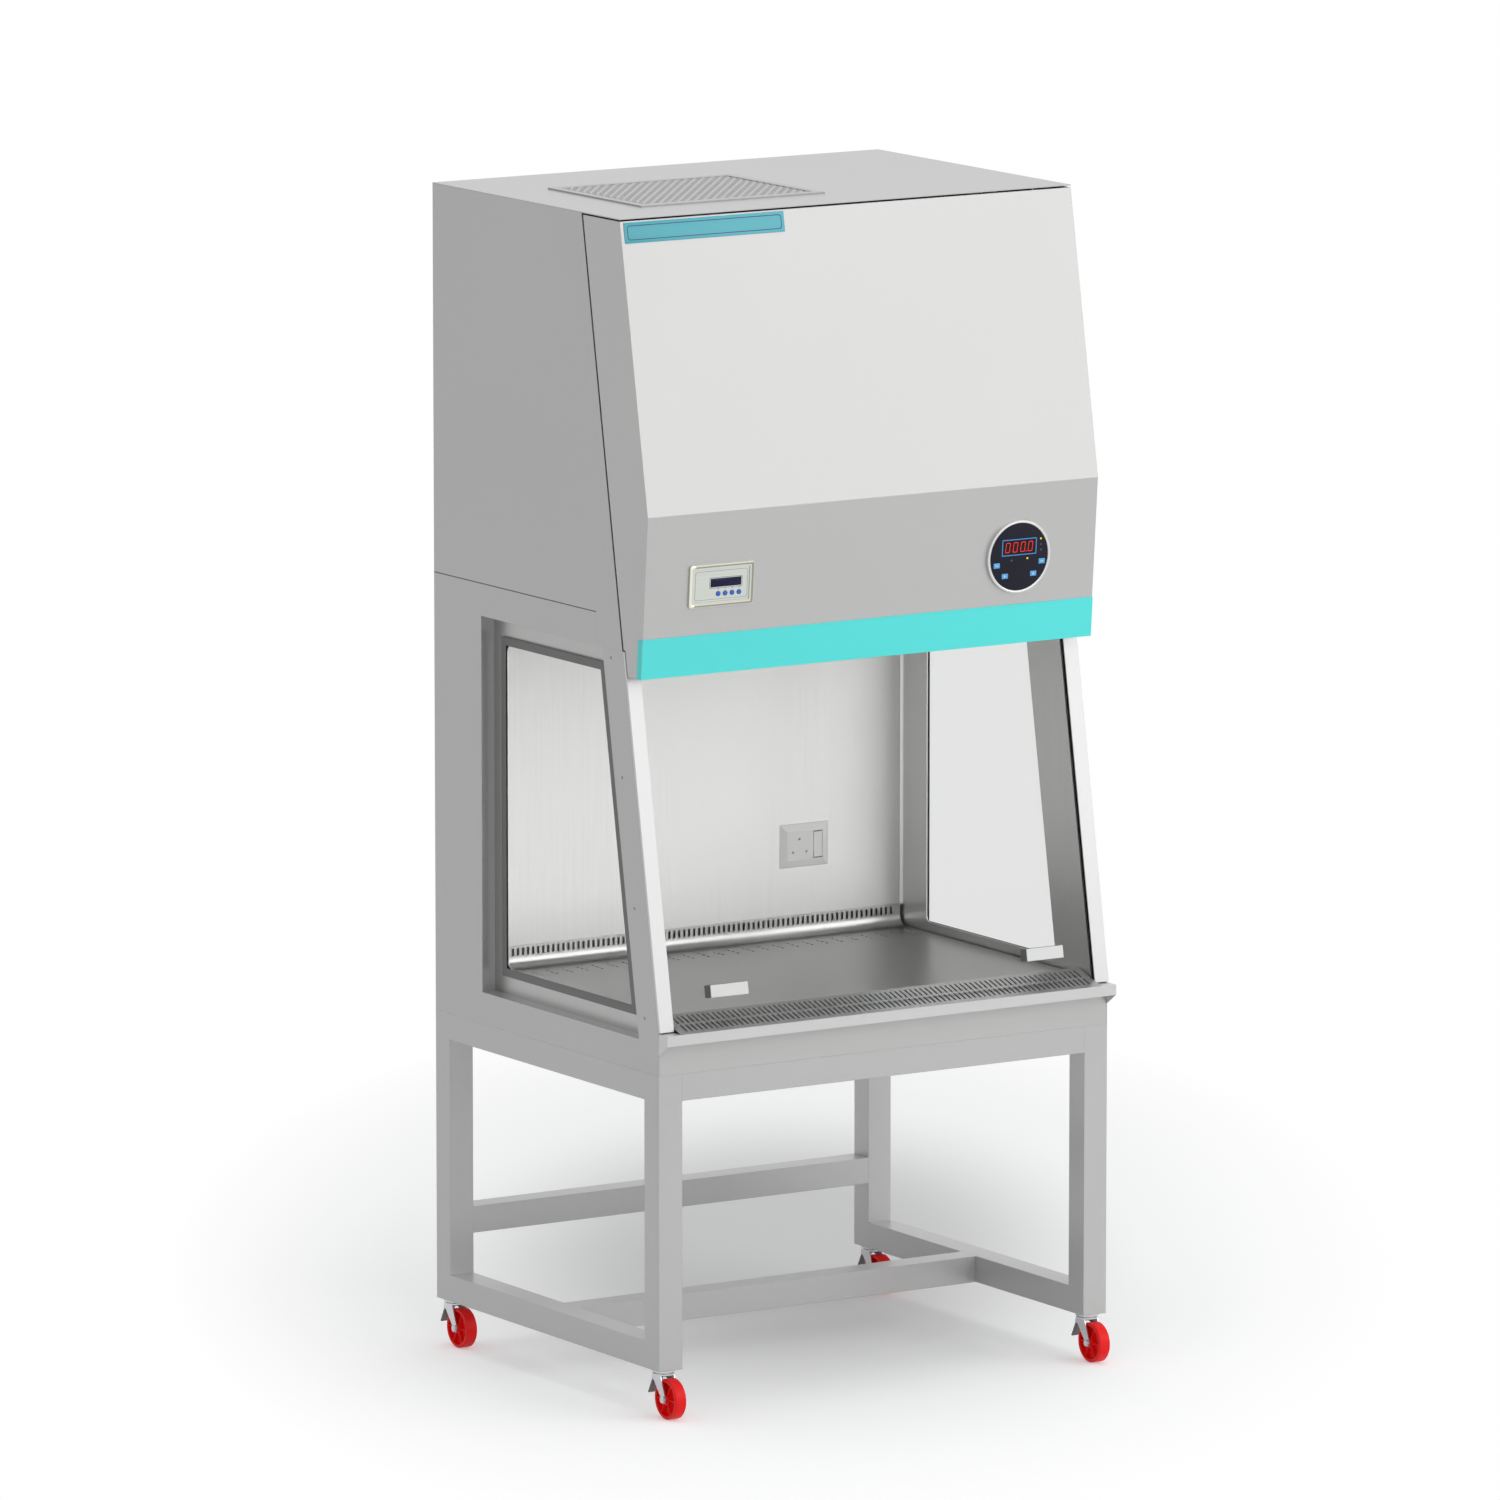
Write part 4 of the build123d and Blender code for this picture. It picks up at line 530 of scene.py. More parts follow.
# Coved corners: a polished quarter-round strip in each rear corner, welded and dressed.
cove_steel = brushed("cove_steel", (0.95, 0.95, 0.94), (24, 24, 0.5), roughness=0.4, strength=0.1)
back_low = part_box("back_wall")[0]
wall_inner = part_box("right_inner_wall")[0].x
coves = bmesh.new()
cove_radius = 5.0
cove_foot = at(0, 0, 771).z
cove_height = 695
cove_steps = 6
arc = [math.pi / 2 * k / cove_steps for k in range(cove_steps + 1)]
for side in (-1, 1):
    outline = [(-side * cove_radius * (1 - math.sin(by)), -cove_radius * (1 - math.cos(by))) for by in arc]
    outline.append((0.0, 0.0))
    corner_frame = Matrix.Translation((side * wall_inner, back_low.y, cove_foot))
    stack(coves, corner_frame, [(outline, 0), (outline, cove_height)])
piece("corner_coves", coves, cove_steel, "cabinet")
tray_steel = brushed("tray_steel", (0.62, 0.62, 0.61), (0.3, 12, 12), roughness=0.29, strength=0.06)
set_input(tray_steel, "Specular Tint", (0.50, 0.50, 0.50, 1))
dress(tray_steel, "work_surface")
slot_steel = enamel("slot_steel", (0.66, 0.66, 0.65), roughness=0.35, metallic=0.4, edge=0.0008)
dress(slot_steel, "diffuser")
grille_face = enamel("grille_face", (0.50, 0.50, 0.495), roughness=0.3, metallic=0.6, edge=0.0008)
dress(grille_face, "front_grille")
# The drain pan, seen only down through the grille slots, is painted near black: painted shade.
pan_steel = brushed("pan_steel", (0.03, 0.03, 0.03), (0.6, 30, 30), roughness=0.5)
dress(pan_steel, "drain_pan")

# ------------------------------------------------------------------ glass
# Clear float glass in the sash and in the two side windows. The sash pane carries its rail
# and pulls, and a grey seal holds each side pane to its opening.
clear_glass = bpy.data.materials.new("clear_glass")
clear_glass.use_nodes = True
glass_tree = clear_glass.node_tree
glass_shader = glass_tree.nodes["Principled BSDF"]
glass_shader.inputs["Base Color"].default_value = (0.875, 0.88, 0.875, 1)
glass_shader.inputs["Roughness"].default_value = 0.02
glass_shader.inputs["IOR"].default_value = 1.12
glass_shader.inputs["Transmission Weight"].default_value = 1.0
glass_clear = glass_tree.nodes.new("ShaderNodeBsdfTransparent")
glass_path = glass_tree.nodes.new("ShaderNodeLightPath").outputs
glass_pass = math_node(glass_tree, "MAXIMUM", glass_path["Is Shadow Ray"], glass_path["Is Diffuse Ray"])
glass_surface = mixed(glass_tree, glass_pass, glass_shader.outputs["BSDF"], glass_clear.outputs["BSDF"])
wire(glass_tree, glass_surface, glass_tree.nodes["Material Output"].inputs["Surface"])
dress(clear_glass, "sash_glass", "side_windows")

# Window seals: a flat grey strip on each pane's rim, as wide as the pane's overlap.
seal_grey = enamel("seal_grey", (0.15, 0.15, 0.15), roughness=0.45, metallic=0.3, edge=0.0004)
pane_low, pane_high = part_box("side_windows")
pane_overlap = 15.5
front_lean = math.radians(10)
middle_y = (pane_low.y + pane_high.y) / 2
middle_z = (pane_low.z + pane_high.z) / 2
for side, side_name in ((-1, "left"), (1, "right")):
    pane_face = side * pane_high.x
    rim_points = [v.co for v in nodes["side_windows"].data.vertices if abs(v.co.x - pane_face) < 0.0002]
    outer, inner = [], []
    for behind, above in ((-1, -1), (1, -1), (1, 1), (-1, 1)):
        # Height counts more, so that a sloping front edge still gives its own two corners.
        corner = max(rim_points, key=lambda p: behind * (p.y - middle_y) + above * (p.z - middle_z) * 4.0)
        u, v = (corner.y - middle_y) * 1000, (corner.z - middle_z) * 1000
        step = pane_overlap if behind > 0 else pane_overlap / math.cos(front_lean)
        slide = 0.0 if behind > 0 else pane_overlap * math.tan(front_lean)
        outer.append((u * side, v))
        inner.append(((u - behind * step - above * slide) * side, v - above * pane_overlap))
    seal_frame = face_frame((pane_face, middle_y, middle_z), (0, side, 0), (0, 0, 1))
    seal_mesh = bmesh.new()
    stack(seal_mesh, seal_frame, [(outer, 0.05), (outer, 0.7), (inner, 0.7), (inner, 0.05)], closed=True)
    piece(f"{side_name}_window_seal", seal_mesh, seal_grey, "cabinet")

# ------------------------------------------------------------------ sash fittings
# Black plastic guide channels, white open-topped pulls, an aluminium top rail, and the
# cables, pulleys and bar that balance the sash.
guide_black = enamel("guide_black", (0.02, 0.02, 0.022), roughness=0.4, edge=0.0006)
dress(guide_black, "sash_guides")
pull_white = enamel("pull_white", (0.80, 0.80, 0.79), roughness=0.25, edge=0.0012)
# Only a pull's sloping front face is white: the cup behind it is in shade.
pull_tree = pull_white.node_tree
pull_shade = 0.25
pull_skin = 0.0012
pull_axes = axes(pull_tree, object_place(pull_tree))
pull_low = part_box("sash_handles")[0]
pull_lean = math_node(pull_tree, "MULTIPLY", pull_axes["Z"], -math.tan(front_lean))
pull_depth = math_node(pull_tree, "ADD", pull_axes["Y"], pull_lean)
pull_limit = pull_low.y - pull_low.z * math.tan(front_lean) + pull_skin
pull_front = math_node(pull_tree, "LESS_THAN", pull_depth, pull_limit)
pull_gain = math_node(pull_tree, "MULTIPLY", pull_front, 1.0 - pull_shade)
retone(pull_tree, math_node(pull_tree, "ADD", pull_gain, pull_shade))
dress(pull_white, "sash_handles")
rail_metal = brushed("rail_metal", (0.72, 0.72, 0.73), (0.6, 34, 34), roughness=0.3)
dress(rail_metal, "sash_rail")
dress(zinc, "sash_cables")
# The hood hinge is painted near black so the gap along the hood's top edge reads dark: painted shade.
dress(guide_black, "hood_hinge")
bar_steel = enamel("bar_steel", (0.28, 0.28, 0.30), roughness=0.35, metallic=0.9, edge=0.001)
dress(bar_steel, "counterweight", "pulley_shaft", "shaft_bearings", "blower_motor")

# ------------------------------------------------------------------ air system
# Galvanised plenum, blower scroll and wheel, and the two white-framed filters of pleated
# glass paper. The lamp is an opal batten.
galvanised = enamel("galvanised", (0.52, 0.53, 0.55), roughness=0.38, metallic=0.8, edge=0.0008, grain=0.3)
dress(galvanised, "plenum_box", "blower_housing", "impeller")
filter_paper = bpy.data.materials.new("filter_paper")
filter_paper.use_nodes = True
paper_tree = filter_paper.node_tree
paper_shader = paper_tree.nodes["Principled BSDF"]
paper_shader.inputs["Roughness"].default_value = 0.8
paper_pleats = paper_tree.nodes.new("ShaderNodeTexWave")
paper_pleats.inputs["Scale"].default_value = 60
paper_pleats.inputs["Distortion"].default_value = 0.4
wire(paper_tree, object_place(paper_tree), paper_pleats.inputs["Vector"])
paper_bump = paper_tree.nodes.new("ShaderNodeBump")
paper_bump.inputs["Distance"].default_value = 0.003
wire(paper_tree, paper_pleats.outputs["Fac"], paper_bump.inputs["Height"])
wire(paper_tree, paper_bump.outputs["Normal"], paper_shader.inputs["Normal"])
paper_shade = map_range(paper_tree, paper_pleats.outputs["Fac"], 0.0, 1.0, 0.55, 0.95)
wire(paper_tree, scaled(paper_tree, (0.74, 0.74, 0.70), paper_shade), paper_shader.inputs["Base Color"])
dress(filter_paper, "supply_filter")
# The exhaust filter, shadowed under the grille, is painted dark grey: painted shade.
guard_grey = enamel("guard_grey", (0.10, 0.10, 0.10), roughness=0.6, edge=0.001, grain=0.5)
dress(guard_grey, "exhaust_filter")
lamp_opal = enamel("lamp_opal", (0.86, 0.86, 0.86), roughness=0.3, edge=0.001)
dress(lamp_opal, "lamp")

# ------------------------------------------------------------------ exhaust grille
# A punched steel plate with staggered round-ended slots, inside a plain border. It lies
# on the top sheet over the exhaust filter.
grille_low, grille_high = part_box("exhaust_grille")
grille_steel = enamel("grille_steel", (0.37, 0.37, 0.37), roughness=0.3, metallic=0.6, edge=0.0005)


def slot_outline(length, width, steps=5):
    """Points of a slot with round ends, anticlockwise from its right end's foot."""
    points = []
    for side in (1, -1):
        for k in range(steps + 1):
            angle = math.pi * (k / steps - side / 2)
            end = side * (length - width) / 2
            points.append((end + width / 2 * math.cos(angle), width / 2 * math.sin(angle)))
    return points


slot_pitch_x = 19.0
slot_pitch_y = 11.5
hole = slot_outline(13.0, 5.0)
# The cell's rim has a point for each of the slot's, spread up its two short sides.
edge_spread = 4.3
cell_edge = []
for u, v in hole:
    share = min(0.5, max(-0.5, v / edge_spread))
    cell_edge.append((math.copysign(slot_pitch_x / 2, u), slot_pitch_y * share))
cell_mesh = bmesh.new()
cell_layers = [(cell_edge, 0.4), (cell_edge, 2.0), (hole, 2.0), (hole, 0.4)]
stack(cell_mesh, Matrix.Identity(4), cell_layers, closed=True)
cell = piece("grille_cell", cell_mesh, grille_steel, None, smooth=30)


def new_tree(name, *inputs):
    """A geometry tree with a geometry input and output and the named inputs."""
    tree = bpy.data.node_groups.new(name, "GeometryNodeTree")
    tree.interface.new_socket("Geometry", in_out="INPUT", socket_type="NodeSocketGeometry")
    for input_name, kind in inputs:
        tree.interface.new_socket(input_name, in_out="INPUT", socket_type=kind)
    tree.interface.new_socket("Geometry", in_out="OUTPUT", socket_type="NodeSocketGeometry")
    return tree, tree.nodes.new("NodeGroupInput").outputs, tree.nodes.new("NodeGroupOutput").inputs


def finish_copies(tree, copies, finish, out):
    """Makes a tree's copies real, gives them their finish and sends them out."""
    real = tree.nodes.new("GeometryNodeRealizeInstances")
    wire(tree, copies.outputs["Instances"], real.inputs["Geometry"])
    finished = tree.nodes.new("GeometryNodeSetMaterial")
    wire(tree, real.outputs["Geometry"], finished.inputs["Geometry"])
    wire(tree, finish, finished.inputs["Material"])
    wire(tree, finished.outputs["Geometry"], out)


def grow(name, points, tree, body, slot, **values):
    """Runs a geometry tree over points and keeps the plain mesh as a piece on a body."""
    data = bpy.data.meshes.new(name)
    data.from_pydata([tuple(point) for point in points], [], [])
    made = bpy.data.objects.new(name, data)
    bpy.context.scene.collection.objects.link(made)
    modifier = made.modifiers.new(name, "NODES")
    modifier.node_group = tree
    for socket in tree.interface.items_tree:
        key = socket.name.replace(" ", "_").lower()
        if socket.in_out == "INPUT" and key in values:
            modifier[socket.identifier] = values[key]
    bpy.context.view_layer.update()
    grown = made.evaluated_get(bpy.context.evaluated_depsgraph_get())
    baked = bpy.data.meshes.new_from_object(grown)
    made.modifiers.remove(modifier)
    baked.name = name
    made.data = baked
    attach(made, body)
    return made


# Staggered rows: a grid of points with every second row shifted, and a cell on each.
rows_tree, rows_in, rows_out = new_tree(
    "staggered_rows",
    ("Cell", "NodeSocketObject"),
    ("Columns", "NodeSocketInt"),
    ("Rows", "NodeSocketInt"),
    ("Pitch across", "NodeSocketFloat"),
    ("Pitch along", "NodeSocketFloat"),
    ("Middle", "NodeSocketVector"),
    ("Finish", "NodeSocketMaterial"),
)
rows_grid = rows_tree.nodes.new("GeometryNodeMeshGrid")
wire(rows_tree, rows_in["Columns"], rows_grid.inputs["Vertices X"])
wire(rows_tree, rows_in["Rows"], rows_grid.inputs["Vertices Y"])
for count, pitch, size in (("Columns", "Pitch across", "Size X"), ("Rows", "Pitch along", "Size Y")):
    steps = math_node(rows_tree, "SUBTRACT", rows_in[count], 1.0)
    wire(rows_tree, math_node(rows_tree, "MULTIPLY", steps, rows_in[pitch]), rows_grid.inputs[size])
rows_index = rows_tree.nodes.new("GeometryNodeInputIndex")
rows_number = math_node(rows_tree, "MODULO", rows_index.outputs[0], rows_in["Rows"])
rows_odd = math_node(rows_tree, "MODULO", rows_number, 2.0)
rows_swing = math_node(rows_tree, "MULTIPLY", math_node(rows_tree, "SUBTRACT", rows_odd, 0.5), 0.5)
rows_shift = rows_tree.nodes.new("ShaderNodeCombineXYZ")
wire(rows_tree, math_node(rows_tree, "MULTIPLY", rows_swing, rows_in["Pitch across"]), rows_shift.inputs["X"])
rows_move = rows_tree.nodes.new("ShaderNodeVectorMath")
wire(rows_tree, rows_shift.outputs[0], rows_move.inputs[0])
wire(rows_tree, rows_in["Middle"], rows_move.inputs[1])
rows_place = rows_tree.nodes.new("GeometryNodeSetPosition")
wire(rows_tree, rows_grid.outputs["Mesh"], rows_place.inputs["Geometry"])
wire(rows_tree, rows_move.outputs["Vector"], rows_place.inputs["Offset"])
rows_cell = rows_tree.nodes.new("GeometryNodeObjectInfo")
wire(rows_tree, rows_in["Cell"], rows_cell.inputs["Object"])
rows_copy = rows_tree.nodes.new("GeometryNodeInstanceOnPoints")
wire(rows_tree, rows_place.outputs["Geometry"], rows_copy.inputs["Points"])
wire(rows_tree, rows_cell.outputs["Geometry"], rows_copy.inputs["Instance"])
finish_copies(rows_tree, rows_copy, rows_in["Finish"], rows_out["Geometry"])

# The outer rows of slots may reach a little under the border.
grille_border = 16.0
row_slack = 8
grille_middle = (grille_low + grille_high) / 2
grille_wide = (grille_high.x - grille_low.x) * 1000
grille_long = (grille_high.y - grille_low.y) * 1000
punched = grow(
    "exhaust_perforations", [(0, 0, 0)], rows_tree, "cabinet", "white_enamel",
    cell=cell,
    columns=int((grille_wide - 2 * grille_border) / slot_pitch_x),
    rows=int((grille_long - 2 * grille_border + row_slack) / slot_pitch_y),
    pitch_across=slot_pitch_x / 1000,
    pitch_along=slot_pitch_y / 1000,
    middle=(grille_middle.x, grille_middle.y, grille_low.z),
    finish=grille_steel,
)
bpy.data.objects.remove(cell)


def inset_outline(inset):
    """Corners of the grille's rectangle, drawn in by inset all round."""
    across, along = grille_wide / 2 - inset, grille_long / 2 - inset
    return [(across, -along), (across, along), (-across, along), (-across, -along)]


border_mesh = bmesh.new()
border_frame = Matrix.Translation((grille_middle.x, grille_middle.y, grille_low.z))
border_steps = (
    (0, 0), (0, 2.4), (0.6, 3.0), (grille_border, 3.0), (grille_border + 1, 2.2), (grille_border + 1, 0)
)
border_layers = [(inset_outline(inset), height) for inset, height in border_steps]
stack(border_mesh, border_frame, border_layers, closed=True)
border = piece("exhaust_border", border_mesh, grille_steel, "cabinet")
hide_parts("exhaust_grille")
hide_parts("exhaust_grille")

# ------------------------------------------------------------------ sheet screws
# Small domed screws, zinc plated and turned with a round recess for the driver, hold the
# rear panel round its rim.
head_mesh = bmesh.new()
head_profile = ((3.6, 0), (3.5, 0.25), (2.6, 0.62), (1.2, 0.74), (0.9, 0.3))
stack(head_mesh, Matrix.Identity(4), [(ring(radius, 20), height) for radius, height in head_profile])
screw_head = piece("screw_head", head_mesh, zinc, None)

screws_tree, screws_in, screws_out = new_tree(
    "screw_row", ("Head", "NodeSocketObject"), ("Turn", "NodeSocketVector"), ("Finish", "NodeSocketMaterial")
)
screws_head = screws_tree.nodes.new("GeometryNodeObjectInfo")
wire(screws_tree, screws_in["Head"], screws_head.inputs["Object"])
screws_copy = screws_tree.nodes.new("GeometryNodeInstanceOnPoints")
wire(screws_tree, screws_in["Geometry"], screws_copy.inputs["Points"])
wire(screws_tree, screws_head.outputs["Geometry"], screws_copy.inputs["Instance"])
wire(screws_tree, screws_in["Turn"], screws_copy.inputs["Rotation"])
finish_copies(screws_tree, screws_copy, screws_in["Finish"], screws_out["Geometry"])

rear_screws = [(x, z) for x in (-470, 470) for z in (660, 860, 1060, 1260, 1445)]
rear_screws += [(x, z) for x in (-240, 0, 240) for z in (660, 1445)]
grow(
    "rear_panel_screws", [at(x, 394.3, z) for x, z in rear_screws], screws_tree,
    "cabinet", "zinc_plate", head=screw_head, turn=(-math.pi / 2, 0, 0), finish=zinc,
)
bpy.data.objects.remove(screw_head)

# ------------------------------------------------------------------ hood trim
# A turquoise band is wrapped round the hood's lower edge, and a bare turquoise plate with
# a dark blue line is fixed near its top.
band_enamel = enamel("band_enamel", (0.10, 0.87, 0.84), roughness=0.34, edge=0.0008)
dress(band_enamel, "hood_band")
hood_foot = at(0, -334.3, 1360.3)
hood_fold = at(0, -358.0, 1660.0)
hood_top = at(0, -262.4, 2192.0)
lower_face = face_frame(hood_foot, (1, 0, 0), hood_fold - hood_foot)
upper_face = face_frame(hood_fold, (1, 0, 0), hood_top - hood_fold)


def rounded(width, height, radius, steps=5):
    """Points of a rectangle with rounded corners about the origin, anticlockwise."""
    points = []
    for corner, (right, up) in enumerate(((1, 1), (-1, 1), (-1, -1), (1, -1))):
        across, along = right * (width / 2 - radius), up * (height / 2 - radius)
        for k in range(steps + 1):
            angle = math.pi / 2 * (corner + k / steps)
            points.append((across + radius * math.cos(angle), along + radius * math.sin(angle)))
    return points


def drawn_line(mesh, frame, width, height, radius, line, out, middle, thickness=0.12):
    """A printed rounded frame of one line's width."""
    outer = rounded(width, height, radius)
    inner = rounded(width - 2 * line, height - 2 * line, radius - line / 2)
    layers = [(outer, out), (outer, out + thickness), (inner, out + thickness), (inner, out)]
    stack(mesh, frame, layers, middle, closed=True)


plate_middle = (-311.0, 515.8)
plate_mesh = bmesh.new()
stack(
    plate_mesh,
    upper_face,
    [(rounded(342, 38, 1.5), 0), (rounded(342, 38, 1.5), 0.8), (rounded(341, 37, 1.2), 1.1)],
    plate_middle,
)
plate_turquoise = enamel("plate_turquoise", (0.075, 0.46, 0.54), roughness=0.25, edge=0.0004)
piece("name_plate", plate_mesh, plate_turquoise, "hood")
line_mesh = bmesh.new()
drawn_line(line_mesh, upper_face, 330, 27, 6, 1.6, 1.08, plate_middle)
line_blue = enamel("line_blue", (0.02, 0.07, 0.25), roughness=0.3, edge=0.0002)
piece("name_plate_line", line_mesh, line_blue, "hood")

# ------------------------------------------------------------------ control panel
# A pressed bright frame round a satin plate, with a dark liquid-crystal window above four
# domed blue push-buttons.
# The frame's dark yellowish base colour is a painted reflection of dark surroundings.
bezel_chrome = enamel("bezel_chrome", (0.33, 0.32, 0.26), roughness=0.12, metallic=1.0, edge=0.0006)
panel_satin = brushed("panel_satin", (0.60, 0.63, 0.58), (0.6, 30, 30), roughness=0.3)
dress(panel_satin, "control_panel")
panel_middle = (-327.0, 165.0)
rim_mesh = bmesh.new()
stack(
    rim_mesh,
    lower_face,
    [
        (rounded(138.0, 79.0, 5.0), 0.1),
        (rounded(137.9, 78.9, 5.0), 2.6),
        (rounded(136.6, 77.6, 4.6), 3.8),
        (rounded(133.0, 74.0, 4.0), 4.6),
        (rounded(129.0, 70.0, 3.0), 4.5),
        (rounded(119.6, 60.6, 1.2), 2.3),
        (rounded(119.0, 60.0, 1.0), 1.9),
    ],
    panel_middle,
    closed=True,
)
# The frame's left end is painted brighter: a painted highlight.
rim_tree = bezel_chrome.node_tree
sheen_start = at(-383, 0, 0).x
sheen_end = at(-387, 0, 0).x
rim_across = axes(rim_tree, object_place(rim_tree))["X"]
retone(rim_tree, map_range(rim_tree, rim_across, sheen_start, sheen_end, 1.0, 2.5))
piece("panel_rim", rim_mesh, bezel_chrome, "hood", smooth=28)
screen_middle = (-317.0, 169.0)
screen_mesh = bmesh.new()
stack(
    screen_mesh,
    lower_face,
    [(rounded(65.6, 15.6, 0.8), 0.9), (rounded(65.6, 15.6, 0.8), 1.7), (rounded(64.6, 14.6, 0.6), 1.95)],
    screen_middle,
)
screen_dark = enamel("screen_dark", (0.012, 0.012, 0.05), roughness=0.1, edge=0.0003, grain=0.2)
set_input(screen_dark, "Specular IOR Level", 0.15)
piece("panel_screen", screen_mesh, screen_dark, "hood")
panel_lines = bmesh.new()
drawn_line(panel_lines, lower_face, 70, 20, 1.6, 0.7, 2.0, screen_middle)
drawn_line(panel_lines, lower_face, 112, 53, 4, 0.5, 2.0, panel_middle)
key_columns = {"mode": -332.6, "down": -317.8, "up": -303.0, "set": -288.2}
dash = rounded(3.4, 0.9, 0.4)
for key_x in key_columns.values():
    stack(panel_lines, lower_face, [(dash, 2.0), (dash, 2.12)], (key_x, 157.6))
piece("panel_lines", panel_lines, line_blue, "hood")

button_blue = enamel("button_blue", (0.03, 0.14, 0.62), roughness=0.22, edge=0.0003)
key_radius = 4.5
key_top = 3.2
dome = [(ring(6.0), -1.4), (ring(6.0), 0.0), (ring(key_radius), 0.02), (ring(key_radius), key_top)]
dome += [(ring(key_radius * math.cos(lift)), key_top + 0.8 * math.sin(lift)) for lift in (0.4, 0.8, 1.2)]
for key_name, key_x in key_columns.items():
    key_mesh = bmesh.new()
    stack(key_mesh, lower_face, dome, (key_x, 148.4))
    key = piece(f"{key_name}_key", key_mesh, button_blue, f"{key_name}_button")
    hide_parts(f"{key_name}_button")

# ------------------------------------------------------------------ pressure gauge
# A digital gauge: a rolled bright bezel round a navy face with a framed red readout,
# small lights and four pale blue keys.
gauge_metal = enamel("gauge_metal", (0.70, 0.70, 0.70), roughness=0.2, metallic=0.9, edge=0.0008)
dress(gauge_metal, "pressure_gauge")
gauge_middle = (318.0, 165.0)


def turned(profile):
    """The gauge's fine rings for a profile of (radius, height) steps."""
    return [(ring(radius, 96), height) for radius, height in profile]


bezel_profile = (
    (68.6, 0.4), (68.6, 4.2), (68.0, 5.9), (66.8, 7.2), (65.4, 7.5), (64.4, 7.1), (63.8, 6.2), (63.3, 4.9)
)
bezel_mesh = bmesh.new()
stack(bezel_mesh, lower_face, turned(bezel_profile), gauge_middle, closed=True)
piece("gauge_bezel", bezel_mesh, gauge_metal, "hood")
face_mesh = bmesh.new()
stack(face_mesh, lower_face, turned(((63.8, 4.9), (63.8, 5.2), (62.9, 5.4))), gauge_middle)
gauge_navy = enamel("gauge_navy", (0.014, 0.014, 0.026), roughness=0.3, edge=0.0003)
set_input(gauge_navy, "Specular IOR Level", 0.15)
piece("gauge_face", face_mesh, gauge_navy, "hood")
readout_middle = (318.0, 183.3)
readout_mesh = bmesh.new()
stack(readout_mesh, lower_face, [(rounded(72, 27, 1), 5.3), (rounded(72, 27, 1), 5.55)], readout_middle)
readout_black = enamel("readout_black", (0.02, 0.008, 0.01), roughness=0.15, edge=0.0002)
set_input(readout_black, "Specular IOR Level", 0.15)
piece("gauge_readout", readout_mesh, readout_black, "hood")
frame_mesh = bmesh.new()
drawn_line(frame_mesh, lower_face, 76, 31, 1.8, 1.9, 5.35, readout_middle, thickness=0.5)
frame_blue = enamel("frame_blue", (0.05, 0.30, 0.72), roughness=0.3, edge=0.0002)
piece("gauge_readout_frame", frame_mesh, frame_blue, "hood")


def glowing(name, colour, strength):
    """A lit plastic lens: its colour shows by itself and still takes a little shade."""
    material = enamel(name, colour, roughness=0.3, edge=0.0002)
    tree = material.node_tree
    glow = use_group(material, coat_tone, Cloud=0.1, Grain=0.1)
    lit = tree.nodes["Principled BSDF"].inputs["Emission Color"]
    wire(tree, scaled(tree, colour, glow.outputs["Tone"]), lit)
    set_input(material, "Emission Strength", strength)
    return material


# Four noughts, each of six bars with pointed ends, and a point after the third.
digit_width = 10.0
digit_height = 19.0
digit_lean = 0.1
digit_foot = 5.5
digit_top = 5.7
half_stroke = 0.65
half_bar = digit_width / 2 - half_stroke
half_upright = digit_height / 4 - half_stroke / 2


def bar_outline(half_length):
    """A bar with pointed ends, lying along u."""
    shoulder = half_length - half_stroke
    right = [(shoulder, -half_stroke), (half_length, 0), (shoulder, half_stroke)]
    return right + [(-u, -v) for u, v in right]


lying = bar_outline(half_bar)
upright = [(-v, u) for u, v in bar_outline(half_upright)]
bars = [(lying, 0, side * (digit_height / 2 - half_stroke)) for side in (-1, 1)]
bars += [(upright, side * half_bar, half * half_upright) for side in (-1, 1) for half in (-1, 1)]
digit_mesh = bmesh.new()
for digit_x in (-25.0, -8.5, 8.0, 24.5):
    for outline, bar_x, bar_y in bars:
        leaning = [(u + bar_x + digit_lean * (v + bar_y) + digit_x, v + bar_y) for u, v in outline]
        stack(digit_mesh, lower_face, [(leaning, digit_foot), (leaning, digit_top)], readout_middle)
point = ring(1.1, 12)
point_place = (readout_middle[0] + 15.2, readout_middle[1] - 8.6)
stack(digit_mesh, lower_face, [(point, digit_foot), (point, digit_top)], point_place)
digit_red = glowing("digit_red", (0.80, 0.015, 0.015), 0.5)
piece("gauge_digits", digit_mesh, digit_red, "hood")


def on_gauge(u, v):
    """A place on the hood's lower face, from the gauge's middle."""
    return gauge_middle[0] + u, gauge_middle[1] + v


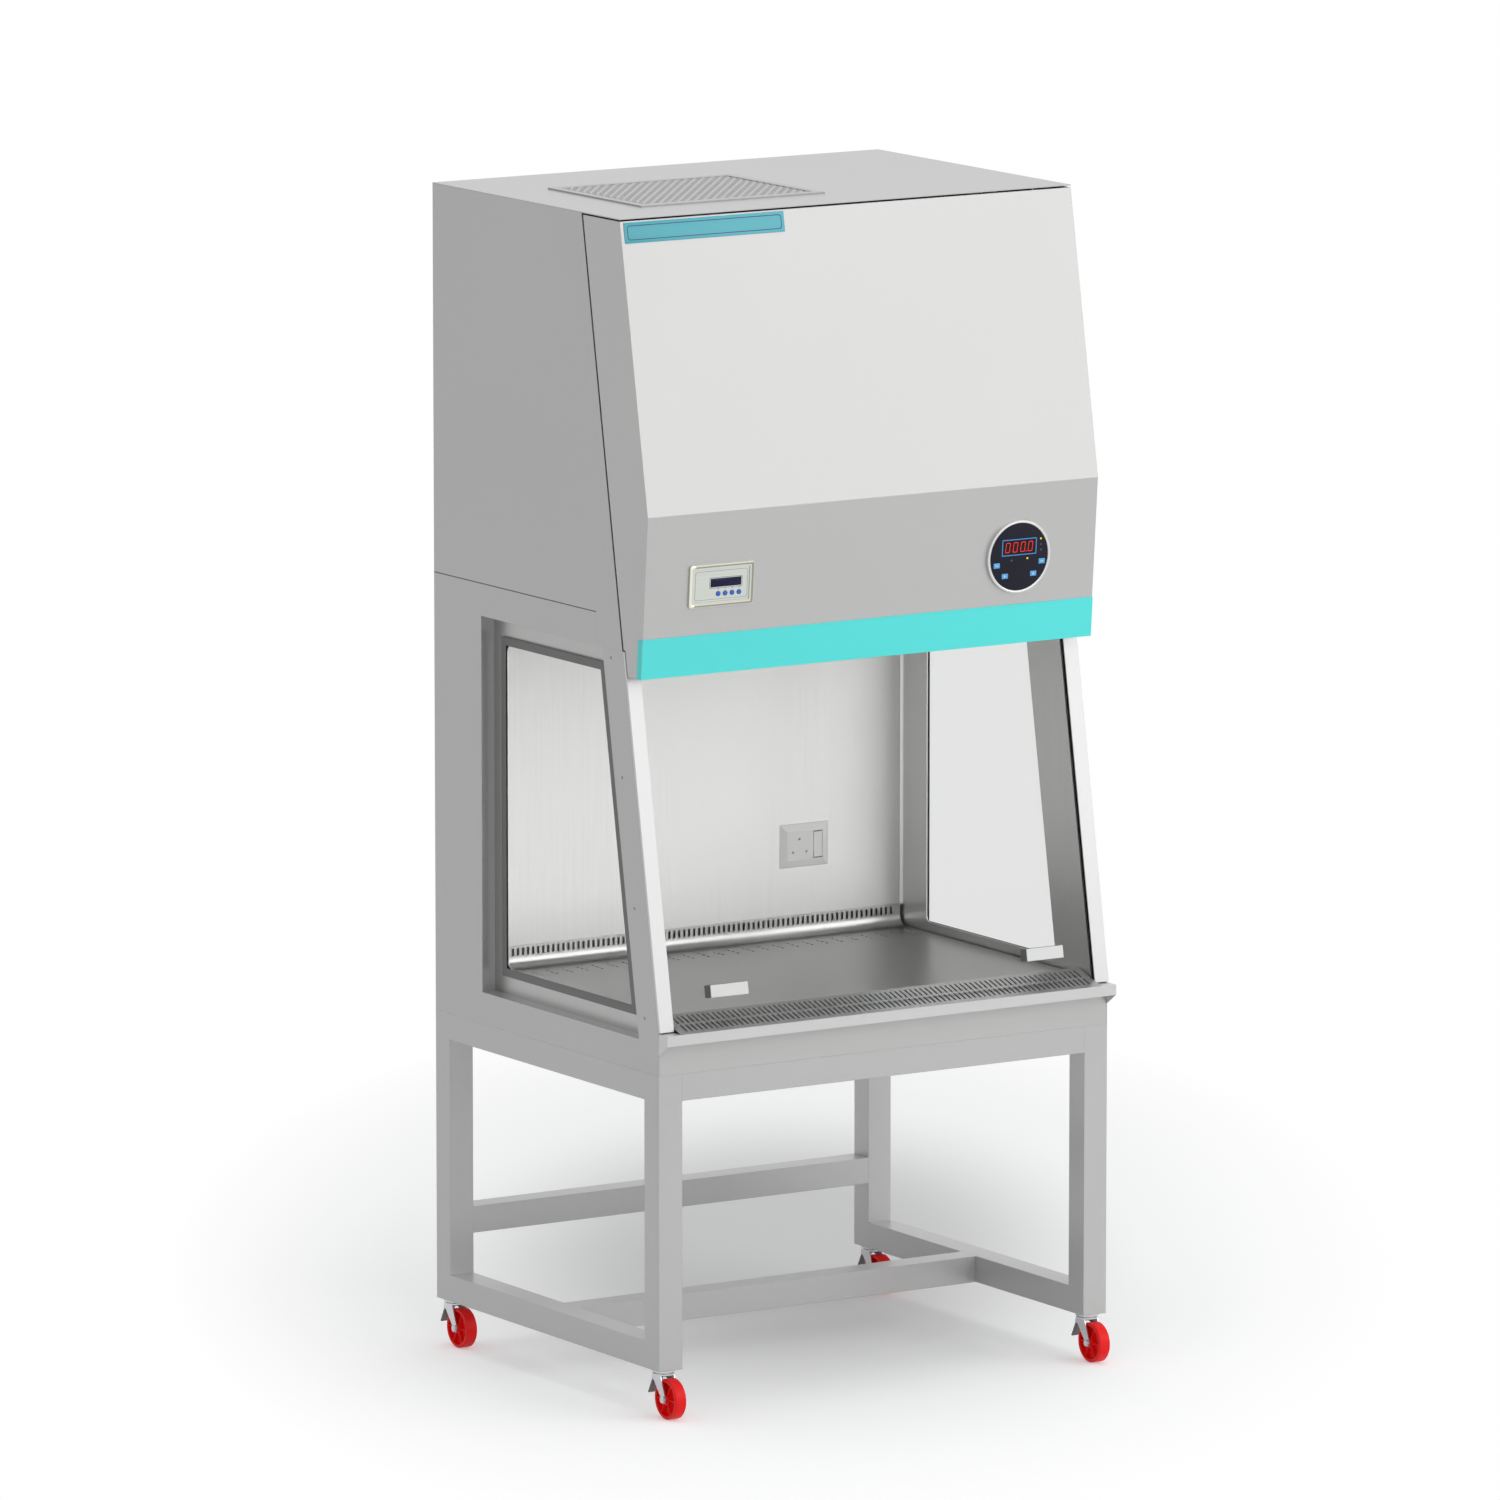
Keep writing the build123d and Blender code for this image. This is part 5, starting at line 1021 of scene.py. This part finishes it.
def lenses(name, places, radius, material):
    """Small domed lights on the gauge's face."""
    mesh = bmesh.new()
    lens = [(ring(radius, 14), 5.3), (ring(radius, 14), 5.6), (ring(radius * 0.6, 14), 6.0)]
    for u, v in places:
        stack(mesh, lower_face, lens, on_gauge(u, v))
    piece(name, mesh, material, "hood")


light_amber = glowing("light_amber", (0.95, 0.62, 0.05), 0.4)
light_dim = enamel("light_dim", (0.10, 0.10, 0.09), roughness=0.2, edge=0.0002)
lenses("gauge_lights_lit", ((47.0, 30.8), (19.0, -4.3)), 1.9, light_amber)
lenses("gauge_lights_dim", ((47.4, 20.0), (48.0, 9.7), (-16.0, -6.2)), 1.7, light_dim)
keys_mesh = bmesh.new()
key_places = ((-48.0, -13.8), (51.0, -11.8), (-29.0, -34.9), (33.4, -33.9))
cap = [(rounded(13.5, 9.5, 1.2), 5.3), (rounded(13.5, 9.5, 1.2), 5.6), (rounded(12.7, 8.7, 1.0), 5.8)]
for u, v in key_places:
    stack(keys_mesh, lower_face, cap, on_gauge(u, v))
key_pale = enamel("key_pale", (0.10, 0.42, 0.86), roughness=0.35, edge=0.0002)
piece("gauge_keys", keys_mesh, key_pale, "hood")
marks_mesh = bmesh.new()
bar_mark = [(3.2, -0.7), (3.2, 0.7), (-3.2, 0.7), (-3.2, -0.7)]
up_mark = [(2.4, -2.0), (0.0, 2.4), (-2.4, -2.0)]
right_mark = [(-1.8, -2.4), (2.4, 0.0), (-1.8, 2.4)]
for (u, v), mark in zip(key_places, (bar_mark, bar_mark, right_mark, up_mark)):
    stack(marks_mesh, lower_face, [(mark, 5.75), (mark, 5.9)], on_gauge(u, v))
mark_white = enamel("mark_white", (0.78, 0.80, 0.82), roughness=0.4, edge=0.0001)
piece("gauge_marks", marks_mesh, mark_white, "hood")

# ------------------------------------------------------------------ socket
# A bevelled plate of white moulded plastic on the back wall, with three pin holes and a
# rocker that switches them.
socket_white = enamel("socket_white", (0.93, 0.93, 0.92), roughness=0.22, edge=0.0008)
dress(socket_white, "socket_plate", "rocker_switch")
